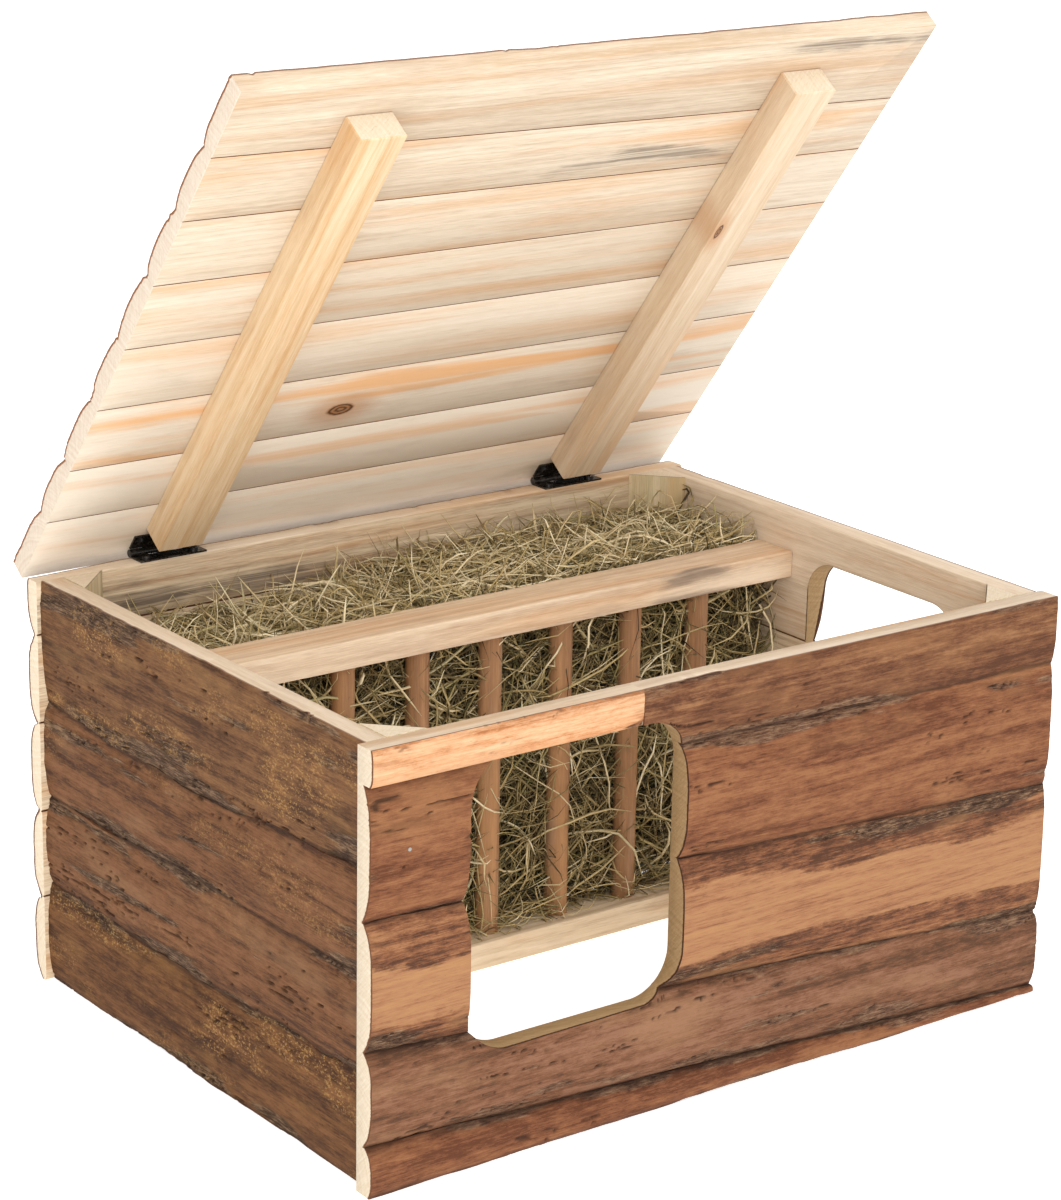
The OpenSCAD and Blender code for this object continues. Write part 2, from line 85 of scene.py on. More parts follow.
def on_back(s, t, d):
    return np.stack([s, INNER_D + d, t], -1)


def on_left(s, t, d):
    return np.stack([SLAB_T - d, s, t], -1)


def on_right(s, t, d):
    return np.stack([HOUSE_W - SLAB_T + d, s, t], -1)


def on_lid(s, t, d):
    """t runs from the hinge edge to the front edge; the shut lid turned up about its pins."""
    y = LID_BACK_Y - t - AXIS_Y
    z = LID_Z + d - AXIS_Z
    c, k = math.cos(LID_OPEN), math.sin(LID_OPEN)
    return np.stack([s, AXIS_Y + y * c + z * k, AXIS_Z - y * k + z * c], -1)


def as_is(x, y, z):
    return np.stack([x, y, z], -1)


def turns_over(place):
    """True if the placing swaps left and right, so that faces have to be turned."""
    zero, one = np.zeros(1), np.ones(1)
    o = place(zero, zero, zero)[0]
    axes = np.array([place(one, zero, zero)[0], place(zero, one, zero)[0], place(zero, zero, one)[0]])
    return np.linalg.det(axes - o) < 0


# ---- noise ----


def smooth(low, high, x):
    """0 below low and 1 above high, with a smooth step between them."""
    x = np.clip((x - low) / (high - low), 0, 1)
    return x * x * (3 - 2 * x)


def lattice(i, j, seed):
    """A repeatable number from -1 to 1 for each whole point of a grid."""
    h = (i * 374761393 + j * 668265263 + seed * 1442695041) & 0xFFFFFFFF
    h = ((h ^ (h >> 13)) * 1274126177) & 0xFFFFFFFF
    h = h ^ (h >> 16)
    return (h & 0xFFFF) / 32767.5 - 1


def noise(x, y, seed):
    """Smooth noise from -1 to 1: grid values blended with smooth steps."""
    i, j = np.floor(x).astype(np.int64), np.floor(y).astype(np.int64)
    u, v = x - i, y - j
    u, v = u * u * (3 - 2 * u), v * v * (3 - 2 * v)
    low = lattice(i, j, seed) * (1 - u) + lattice(i + 1, j, seed) * u
    high = lattice(i, j + 1, seed) * (1 - u) + lattice(i + 1, j + 1, seed) * u
    return low * (1 - v) + high * v


def fbm(x, y, seed, octaves=4, gain=0.5):
    """Sum of noises, each twice as fine as the last and gain times as strong."""
    total, size, weight = 0.0, 1.0, 0.0
    for k in range(octaves):
        total = total + size * noise(x * 2**k + 17.3 * k, y * 2**k + 9.1 * k, seed + 31 * k)
        weight += size
        size *= gain
    return total / weight * 1.6


# ---- mesh making ----


def new_piece(name, points, faces, materials, material_index, flat, attributes, body, slot, *nodes):
    """A mesh object from points in house mm and a list of (faces, corners) index arrays."""
    mesh = bpy.data.meshes.new(name)
    loops = np.concatenate([f.ravel() for f in faces]).astype(np.int32)
    sizes = np.concatenate([np.full(f.shape[0], f.shape[1]) for f in faces])
    starts = np.concatenate([[0], np.cumsum(sizes)[:-1]]).astype(np.int32)
    mesh.vertices.add(len(points))
    mesh.vertices.foreach_set("co", to_row(points).astype(np.float32).ravel())
    mesh.loops.add(len(loops))
    mesh.loops.foreach_set("vertex_index", loops)
    mesh.polygons.add(len(sizes))
    mesh.polygons.foreach_set("loop_start", starts)
    mesh.polygons.foreach_set("material_index", np.asarray(material_index, np.int32))
    mesh.polygons.foreach_set("use_smooth", ~np.asarray(flat, bool))
    for m in materials:
        mesh.materials.append(m)
    mesh.update(calc_edges=True)
    for key, values in attributes.items():
        kind = "FLOAT" if values.ndim == 1 else "FLOAT_VECTOR"
        a = mesh.attributes.new(key, kind, "POINT")
        a.data.foreach_set("value" if values.ndim == 1 else "vector", values.astype(np.float32).ravel())
    mesh.validate()
    obj = bpy.data.objects.new(name, mesh)
    bpy.context.scene.collection.objects.link(obj)
    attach(obj, body)
    if nodes:
        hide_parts(*nodes)
    return obj


def ring_of(nv, nu):
    """Indices round the edge of an nv by nu grid, anticlockwise from its first corner."""
    grid = np.arange(nv * nu).reshape(nv, nu)
    return np.concatenate([grid[0, :-1], grid[:-1, -1], grid[-1, :0:-1], grid[:0:-1, 0]])


def join_rings(a, b):
    """Four-cornered faces between two rings of point indices."""
    return np.stack([a, b, np.roll(b, -1), np.roll(a, -1)], -1)


# ---- nodes ----


def rgb(code):
    """A colour such as c49a6c as the linear values that shaders use."""
    parts = [int(code[i:i + 2], 16) / 255 for i in (0, 2, 4)]
    return tuple(p / 12.92 if p <= 0.04045 else ((p + 0.055) / 1.055) ** 2.4 for p in parts) + (1.0,)


def put(tree, kind, inputs=None, **settings):
    """Adds a node; an input is a constant, a colour code or another node's socket."""
    node = tree.nodes.new(kind)
    for key, value in settings.items():
        setattr(node, key, value)
    for key, value in (inputs or {}).items():
        if isinstance(value, bpy.types.NodeSocket):
            tree.links.new(value, node.inputs[key])
        else:
            node.inputs[key].default_value = rgb(value) if isinstance(value, str) else value
    return node


def calc(tree, operation, *values):
    return put(tree, "ShaderNodeMath", dict(enumerate(values)), operation=operation).outputs[0]


def product(tree, first, *others):
    for value in others:
        first = calc(tree, "MULTIPLY", first, value)
    return first


def weighted(tree, *terms, plus=0.0):
    """Sum of value times weight over (value, weight) pairs, with a constant added."""
    total = plus
    for value, weight in terms:
        total = calc(tree, "MULTIPLY_ADD", value, weight, total)
    return total


def blend(tree, factor, a, b):
    return put(tree, "ShaderNodeMix", {0: factor, 6: a, 7: b}, data_type="RGBA").outputs[2]


def band(tree, value, low, high, to_low=0.0, to_high=1.0):
    """value between low and high, eased and carried to the range to_low to to_high."""
    node = put(tree, "ShaderNodeMapRange",
               {"Value": value, "From Min": low, "From Max": high, "To Min": to_low, "To Max": to_high},
               interpolation_type="SMOOTHSTEP")
    return node.outputs[0]


def grit(tree, vector, size, detail=4.0, rough=0.55, shift=(0, 0, 0)):
    """Noise whose features have the given size in mm along the piece's three directions."""
    scaled = put(tree, "ShaderNodeMapping",
                 {"Vector": vector, "Scale": [1 / v for v in size], "Location": shift})
    made = put(tree, "ShaderNodeTexNoise",
               {"Vector": scaled.outputs[0], "Scale": 1.0, "Detail": detail, "Roughness": rough})
    return made.outputs["Fac"]


def ramp(tree, factor, *stops):
    node = put(tree, "ShaderNodeValToRGB", {0: factor})
    points = node.color_ramp.elements
    while len(points) < len(stops):
        points.new(1.0)
    for point, (place, colour) in zip(points, stops):
        point.position = place
        point.color = rgb(colour)
    return node.outputs[0]


def read(tree, name, as_vector=True):
    node = put(tree, "ShaderNodeAttribute", attribute_name=name)
    return node.outputs["Vector" if as_vector else "Fac"]


def parts_of(tree, vector):
    return put(tree, "ShaderNodeSeparateXYZ", {0: vector}).outputs


def joined(tree, x, y=0.0, z=0.0):
    return put(tree, "ShaderNodeCombineXYZ", {0: x, 1: y, 2: z}).outputs[0]


def length_of(tree, x, y):
    """How far the point (x, y) lies from the origin."""
    return put(tree, "ShaderNodeVectorMath", {0: joined(tree, x, y)}, operation="LENGTH").outputs["Value"]


def new_group(name, inputs, outputs):
    """A shader node group and its inner input and output nodes."""
    tree = bpy.data.node_groups.new(name, "ShaderNodeTree")
    for label, kind, value in inputs:
        socket = tree.interface.new_socket(label, in_out="INPUT", socket_type="NodeSocket" + kind)
        if value is not None:
            socket.default_value = value
    for label, kind in outputs:
        tree.interface.new_socket(label, in_out="OUTPUT", socket_type="NodeSocket" + kind)
    return tree, tree.nodes.new("NodeGroupInput").outputs, tree.nodes.new("NodeGroupOutput").inputs


def use_group(tree, group, **inputs):
    node = tree.nodes.new("ShaderNodeGroup")
    node.node_tree = group
    for key, value in inputs.items():
        key = key.replace("_", " ")
        if isinstance(value, bpy.types.NodeSocket):
            tree.links.new(value, node.inputs[key])
        else:
            node.inputs[key].default_value = value
    return node.outputs


def new_material(name):
    """A material and its tree, with only the shader and the output in it."""
    material = bpy.data.materials.new(name)
    material.use_nodes = True
    tree = material.node_tree
    return material, tree, tree.nodes["Principled BSDF"]


def finish_material(tree, shader, colour, roughness, height, depth, specular=0.3):
    """Feeds the shader; height is bumped by depth metres."""
    bump = put(tree, "ShaderNodeBump", {"Height": height, "Distance": depth, "Strength": 1.0})
    tree.links.new(colour, shader.inputs["Base Color"])
    tree.links.new(roughness, shader.inputs["Roughness"])
    tree.links.new(bump.outputs[0], shader.inputs["Normal"])
    shader.inputs["Specular IOR Level"].default_value = specular


# ---- shared effects ----


def grain_group():
    """Long wood grain: growth lines drawn out along s and bent a little, and fine fibres."""
    tree, given, out = new_group(
        "wood grain",
        [("Vector", "Vector", None), ("Line Width", "Float", 2.4), ("Waviness", "Float", 7.0)],
        [("Lines", "Float"), ("Bands", "Float"), ("Fibres", "Float"), ("Height", "Float")])
    vector = given["Vector"]
    bend = calc(tree, "SUBTRACT", grit(tree, vector, (120, 26, 26), 2.0), 0.5)
    s, t, d = parts_of(tree, vector)
    across = weighted(tree, (bend, given["Waviness"]), (t, 1.0), (d, 0.45))
    place = joined(tree, calc(tree, "DIVIDE", s, 150.0), calc(tree, "DIVIDE", across, given["Line Width"]),
                   calc(tree, "DIVIDE", d, 9.0))
    lines = put(tree, "ShaderNodeTexNoise",
                {"Vector": place, "Scale": 1.0, "Detail": 2.5, "Roughness": 0.6}).outputs["Fac"]
    bands = grit(tree, vector, (260, 15, 22), 3.0)
    fibres = grit(tree, vector, (11, 0.5, 0.5), 2.0)
    height = weighted(tree, (lines, 0.5), (fibres, 1.0))
    for label, value in (("Lines", lines), ("Bands", bands), ("Fibres", fibres), ("Height", height)):
        tree.links.new(value, out[label])
    return tree


def knot_group():
    """A knot at the origin of its vector: a dark eye with rings, and a stained surround."""
    tree, given, out = new_group(
        "knot", [("Vector", "Vector", None), ("Size", "Float", 5.0)],
        [("Eye", "Float"), ("Rings", "Float"), ("Surround", "Float")])
    x, y, _ = parts_of(tree, given["Vector"])
    wobble = grit(tree, given["Vector"], (6, 3, 3), 3.0)
    r = weighted(tree, (length_of(tree, calc(tree, "MULTIPLY", x, 0.55), y), 1.0), (wobble, 1.6), plus=-0.8)
    part = calc(tree, "DIVIDE", r, given["Size"])
    tree.links.new(band(tree, part, 1.0, 0.75), out["Eye"])
    wave = calc(tree, "SINE", calc(tree, "MULTIPLY", part, 16.0))
    tree.links.new(weighted(tree, (wave, 0.5), plus=0.5), out["Rings"])
    tree.links.new(band(tree, part, 3.2, 0.9), out["Surround"])
    return tree


GRAIN = grain_group()
KNOT = knot_group()


def planed_material(name, light, mid, dark, line=2.4, contrast=1.0, wave=7.0):
    """Planed softwood: pale wood with darker growth lines, stains, a knot where one is set."""
    material, tree, shader = new_material(name)
    vector = read(tree, "grain")
    grain = use_group(tree, GRAIN, Vector=vector, Line_Width=line, Waviness=wave)
    lines, bands = grain["Lines"], grain["Bands"]
    # The tone's first value makes the wood darker or lighter. On the lid it carries painted light and shade
    # as well as tone.
    darker, warmer, cloudier = parts_of(tree, read(tree, "tone"))
    amount = weighted(tree, (lines, 0.62 * contrast), (bands, 0.5), (grain["Fibres"], 0.4), (darker, 1.0),
                      plus=-0.06)
    colour = ramp(tree, amount, (0.40, light), (0.62, mid), (0.86, dark))
    colour = blend(tree, product(tree, band(tree, bands, 0.48, 0.66), warmer), colour, "dda56c")
    cloud = grit(tree, vector, (45, 10, 10), 5.0, 0.6, (3, 1, 0))
    stain_s, stain_t, stained = parts_of(tree, read(tree, "stain"))
    spread = weighted(tree, (length_of(tree, stain_s, stain_t), 1.0), (cloud, -3.4), plus=1.7)
    grey = product(tree, band(tree, spread, 1.1, 0.2), stained, band(tree, lines, 0.3, 0.62))
    colour = blend(tree, grey, colour, "6d6054")
    faint = product(tree, band(tree, cloud, 0.5, 0.74, 0.0, 0.3), cloudier)
    colour = blend(tree, faint, colour, "b39a82")
    knot = use_group(tree, KNOT, Vector=read(tree, "knot"))
    colour = blend(tree, product(tree, knot["Surround"], 0.55), colour, "b67c48")
    eye = blend(tree, knot["Rings"], "4a2c1c", "a5764c")
    colour = blend(tree, knot["Eye"], colour, eye)
    skin = band(tree, read(tree, "depth", False), 0.6, 1.3, 0.85, 0.0)
    colour = blend(tree, skin, colour, "6b3f26")
    rough = band(tree, lines, 0.2, 0.8, 0.52, 0.68)
    finish_material(tree, shader, colour, rough, grain["Height"], 0.00022)
    return material


def sawn_material(name, light, dark, bark_line):
    """Sawn end grain: faint rings, saw strokes, and the bark seen on edge as a dark line."""
    material, tree, shader = new_material(name)
    vector = read(tree, "grain")
    _, t, d = parts_of(tree, vector)
    wobble = grit(tree, vector, (9, 9, 9), 3.0)
    r = weighted(tree, (length_of(tree, t, calc(tree, "ADD", d, 26.0)), 1.0), (wobble, 3.0))
    ring_place = joined(tree, calc(tree, "DIVIDE", r, 1.7))
    rings = put(tree, "ShaderNodeTexNoise",
                {"Vector": ring_place, "Scale": 1.0, "Detail": 2.0}).outputs["Fac"]
    turned_grain = put(tree, "ShaderNodeMapping", {"Vector": vector, "Rotation": (0.9, 0.3, 0.2)}).outputs[0]
    strokes = grit(tree, turned_grain, (14, 0.7, 5), 3.0)
    fuzz = grit(tree, vector, (1.2, 1.2, 1.2), 4.0, 0.7)
    amount = weighted(tree, (rings, 0.45), (strokes, 0.4), (fuzz, 0.15))
    colour = ramp(tree, amount, (0.35, light), (0.75, dark))
    depth = weighted(tree, (read(tree, "depth", False), 1.0), (fuzz, 1.2), plus=-0.6)
    colour = blend(tree, band(tree, depth, 1.5, 0.9), colour, bark_line)
    rough = band(tree, strokes, 0.2, 0.8, 0.75, 0.9)
    finish_material(tree, shader, colour, rough, weighted(tree, (strokes, 0.7), (fuzz, 1.0)), 0.00035, 0.2)
    return material


def bark_material(name, dark, body, pale, bare, shag="6d4f3c"):
    """Bark on slabs: fine fibres, weathered shaggy streaks, dark cracks with painted shade along the seams,
    and bands of bare wood.
    """
    material, tree, shader = new_material(name)
    vector = read(tree, "grain")
    crack, bared, shaggy = parts_of(tree, read(tree, "bark"))
    tint, lichen, _ = parts_of(tree, read(tree, "zone"))
    fibres = grit(tree, vector, (8, 0.7, 1.0), 9.0, 0.78)
    streaks = grit(tree, vector, (60, 2.6, 5), 7.0, 0.68, (3, 5, 0))
    flecks = grit(tree, vector, (3.2, 0.8, 1.2), 4.0, 0.66, (5, 2, 0))
    mottle = grit(tree, vector, (11, 4.5, 5), 7.0, 0.72, (8, 1, 0))
    patches = grit(tree, vector, (70, 22, 22), 5.0, 0.6, (2, 9, 0))
    amount = weighted(tree, (fibres, 0.75), (streaks, 0.55), (tint, 0.22), (mottle, 0.55), plus=-0.535)
    colour = ramp(tree, amount, (0.37, dark), (0.50, body), (0.64, pale))
    # Sun-bleached patches, dark nicks and pale chips
    colour = blend(tree, band(tree, patches, 0.52, 0.68, 0.0, 0.45), colour, bare)
    colour = blend(tree, band(tree, flecks, 0.62, 0.72, 0.0, 0.6), colour, dark)
    colour = blend(tree, band(tree, flecks, 0.35, 0.27, 0.0, 0.5), colour, bare)
    # Torn, weathered bark along the seams
    torn = weighted(tree, (fibres, 1.1), (mottle, 0.5), plus=-0.3)
    torn = ramp(tree, torn, (0.36, "20150f"), (0.50, shag), (0.66, "977a5e"))
    ragged = weighted(tree, (mottle, 1.6), (streaks, 1.4), (shaggy, 1.0), plus=-1.5)
    colour = blend(tree, band(tree, ragged, 0.3, 0.95, 0.0, 0.85), colour, torn)
    # Bare wood, with flecks of bark left on it
    wood = weighted(tree, (fibres, 0.5), (streaks, 0.5))
    wood = ramp(tree, wood, (0.38, body), (0.48, pale), (0.58, bare))
    specks = product(tree, band(tree, flecks, 0.66, 0.72, 0.0, 0.8), band(tree, mottle, 0.46, 0.6))
    wood = blend(tree, specks, wood, "5a4234")
    worn = weighted(tree, (bared, 1.0), (streaks, 1.1), (mottle, 1.2), plus=-1.15)
    colour = blend(tree, band(tree, worn, 0.25, 0.75), colour, wood)
    # Lichen, as dots and as a faint haze
    dots = weighted(tree, (grit(tree, vector, (1.7, 1.2, 1.6), 3.0, 0.7, (11, 4, 0)), 1.0), (mottle, 0.35))
    colour = blend(tree, product(tree, band(tree, dots, 0.72, 0.80), lichen), colour, "a98450")
    haze = product(tree, band(tree, mottle, 0.45, 0.7, 0.0, 0.3), lichen)
    colour = blend(tree, haze, colour, "a4703a")
    # Dark cracks, and painted shade along the seams between slabs, which comes in with the cracks
    colour = blend(tree, product(tree, crack, 0.8), colour, "2a1a12")
    rough = band(tree, worn, 0.3, 0.7, 0.86, 0.7)
    relief = weighted(tree, (fibres, 1.0), (flecks, 0.3))
    relief = product(tree, relief, weighted(tree, (shaggy, 0.7), plus=0.5))
    finish_material(tree, shader, colour, rough, relief, 0.0007, 0.2)
    return material


def hay_material():
    """Dried grass: every strand has its own shade, greener or more like straw."""
    material, tree, shader = new_material("dried grass")
    shade, along, green = parts_of(tree, read(tree, "strand"))
    vary = grit(tree, joined(tree, along, calc(tree, "MULTIPLY", shade, 40.0)), (3, 1, 1), 3.0)
    amount = weighted(tree, (shade, 1.0), (vary, 0.35), plus=-0.175)
    colour = ramp(tree, amount, (0.0, "2b2214"), (0.3, "7f6d44"), (0.6, "bda673"),
                  (1.0, "efe0bb"))
    colour = blend(tree, product(tree, green, 0.5), colour, "7f7f45")
    rough = band(tree, vary, 0.3, 0.7, 0.5, 0.7)
    finish_material(tree, shader, colour, rough, vary, 0.0001, 0.35)
    return material


def fine_noise(tree, scale, detail):
    """Noise on the object's own coordinates, in metres."""
    vector = put(tree, "ShaderNodeTexCoord").outputs["Object"]
    made = put(tree, "ShaderNodeTexNoise", {"Vector": vector, "Scale": scale, "Detail": detail})
    return made.outputs["Fac"]


def black_metal_material():
    """Black lacquered steel, glossy, with a faint orange-peel and greyer, dusty patches."""
    material, tree, shader = new_material("black lacquer")
    peel, dust = fine_noise(tree, 900.0, 3.0), fine_noise(tree, 260.0, 6.0)
    colour = blend(tree, band(tree, dust, 0.5, 0.75), "17130f", "3a332c")
    finish_material(tree, shader, colour, band(tree, dust, 0.3, 0.75, 0.16, 0.42), peel, 0.00012, 0.6)
    return material


def steel_material():
    material, tree, shader = new_material("brad steel")
    scratch = fine_noise(tree, 1500.0, 4.0)
    colour = blend(tree, scratch, "8a8882", "a9a7a0")
    shader.inputs["Metallic"].default_value = 1.0
    finish_material(tree, shader, colour, band(tree, scratch, 0.3, 0.7, 0.3, 0.5), scratch, 0.00004, 0.5)
    return material


PLANED = planed_material("planed pale wood", "e9dac7", "decbb3", "c2a788", 2.4, 0.9)
LID_INNER = planed_material("lid inner face", "e0d2bf", "d5c4ad", "b59f86", 2.0, 0.7)
INNER = planed_material("planed inner face", "e6d3b8", "d6bf9f", "a3866a")
RAIL = planed_material("rail wood", "e8d7bf", "dbc3a6", "b5967a", 3.2, 0.9)
DOWEL = planed_material("dowel wood", "b78b67", "a27752", "845f42", 2.6)
PINE_WARM = planed_material("batten pine", "e3cfb3", "d8bd98", "c49c6e", 2.6, 1.0, 4.0)
PINE_PALE = planed_material("batten pale pine", "e0cfb8", "d4bd9f", "be9d7c", 3.0, 0.9, 4.0)
POST = planed_material("post wood", "ebdcc0", "dcc9a6", "b1a079", 3.0, 1.2, 3.0)
SAWN = sawn_material("sawn ends", "e6d8c2", "cdb594", "6a4024")
SAWN_LID = sawn_material("sawn lid ends", "dfd1c0", "c2ab93", "8a5a38")
JAMB = sawn_material("sawn doorway edge", "b3966e", "8f7049", "45291a")
BARK_RED = bark_material("reddish bark", "5a3420", "784b31", "8c5e3e", "976a46")
BARK_BROWN = bark_material("brown bark", "50301f", "6b442c", "825a3c", "906542")
BARK_LOW = bark_material("low bark", "513625", "6f4932", "855e47", "956f50")
BARK_DARK = bark_material("dark bark", "472e1d", "68462c", "7f5938", "8e6943", "564131")
BARK_LEFT = bark_material("brown side bark", "482e1f", "6b462b", "7f5639", "8f694a", "584332")
BARK_BASE = bark_material("base side bark", "422919", "5f3d22", "795130", "896136", "4a3522")
BARE_TAN = bark_material("bare tan wood", "4e3122", "7a4e34", "9a6c4a", "a47850", "4d3829")
BARE_PEACH = bark_material("bare peach wood", "a2683f", "bd8257", "cc9a70", "d6ae88", "8a5a3a")
BARK_LID = bark_material("lid bark", "5a341d", "7e4a24", "965e31", "9d6b3e")
HAY = hay_material()
BLACK = black_metal_material()
STEEL = steel_material()


# ---- slabs ----

# Out of reach of every slab: where a stain, a knot or a streak that isn't wanted stands
FAR_OFF = -900.0
# A height or a depth at which the doorways' edges run straight
STRAIGHT_RUN = 100.0
# The least thickness of a slab at its seams
THINNEST = 2.2


def plates(s, t, w, seed, rough, bare, shaggy, moss, streak):
    """Height of the bark in mm, and its crack, bare, shag, tint and lichen masks.

    w runs from 0 to 1 across the slab. Weathered, shaggy bark lies along the seams and in
    streaks, in layers cut from a long noise, each with a sharp upper edge. Cracks follow
    the zero lines of other long noises. Elsewhere the bark is smooth, with fine fibres.
    Bare wood shows in a band across the slab, bare giving its middle, half width and strength.
    """
    y = t + 4 * fbm(s / 120, t / 30, seed, 3)
    edge = smooth(0.26, 0.0, np.minimum(w, 1 - w))
    own_s, half_s, own_w, half_w = streak
    shaggy = shaggy + 1.1 * np.exp(-((s - own_s) / half_s) ** 2 - ((w - own_w) / half_w) ** 2)
    shag = smooth(0.05, 0.40, 0.8 * fbm(s / 75, y / 9, seed + 6, 4) + 0.55 * edge - 0.42 + shaggy)
    steps = 2.6 * fbm(s / 60, y / 6.5, seed + 1, 5)
    low = np.floor(steps)
    level = (low + smooth(0.72, 1.0, steps - low)) / 2.6
    long_crack = 1 - smooth(0.008, 0.035, np.abs(fbm(s / 130, y / 6, seed + 3, 4)))
    short_crack = 1 - smooth(0.02, 0.09, np.abs(fbm(s / 26, y / 3.4, seed + 8, 3)))
    where = smooth(0.10, 0.45, fbm(s / 60, y / 14, seed + 2, 3))
    short_crack = short_crack * shag * smooth(0.0, 0.4, fbm(s / 30, y / 6, seed + 9, 2))
    crack = np.maximum(long_crack * where, short_crack)
    fine = fbm(s / 12, y / 1.1, seed + 4, 3)
    middle, half, strength = bare
    bared = strength * smooth(1.25, 0.8, np.abs(w - middle + 0.10 * fbm(s / 90, w * 2, seed + 5, 4)) / half)
    cover = 1 - bared
    tint = 0.5 + 0.5 * fbm(s / 150, y / 7, seed + 12, 5)
    mossy = moss * smooth(-0.1, 0.5, fbm(s / 55, y / 16, seed + 14, 4) + 0.35 * (moss - 0.5))
    height = 0.75 * level * (0.25 + shag) - crack + (0.10 + 0.22 * shag) * fine
    height = rough * height * (0.2 + 0.8 * cover)
    return height - 0.3 * bared, crack * (0.35 + 0.65 * cover), bared, shag * cover, tint, mossy


def quads_of(grid):
    """Four-cornered faces between the neighbours of a grid of point indices."""
    return np.stack([grid[:-1, :-1], grid[:-1, 1:], grid[1:, 1:], grid[1:, :-1]], -1).reshape(-1, 4)


def inset(ring_s, ring_t, by):
    """A closed outline moved inwards by the given distance."""
    ds = np.roll(ring_s, -1) - np.roll(ring_s, 1)
    dt = np.roll(ring_t, -1) - np.roll(ring_t, 1)
    size = np.hypot(ds, dt) + 1e-9
    return ring_s - by * dt / size, ring_t + by * ds / size


def at(curve, x):
    return float(curve(np.array([float(x)]))[0])


def wood_values(along, across, deep, shift, depth, tone, stain, knot, knot_scale=(1.0, 1.0)):
    """What the wood materials read, for points given along and across the grain.

    A stain is (along, across, half length, half width, strength), and a knot is (along, across).
    """
    stain_s, stain_t, half_s, half_t, strength = stain or (0, FAR_OFF, 1, 1, 0)
    knot_s, knot_t = knot or (FAR_OFF, FAR_OFF)
    zero = np.zeros(len(along))
    return {
        "grain": np.stack([along + shift, across, deep], -1),
        "depth": depth,
        "tone": np.tile(np.asarray(tone, float), (len(along), 1)),
        "stain": np.stack([(along - stain_s) / half_s, (across - stain_t) / half_t, zero + strength], -1),
        "knot": np.stack([(along - knot_s) * knot_scale[0], (across - knot_t) * knot_scale[1], zero], -1),
    }


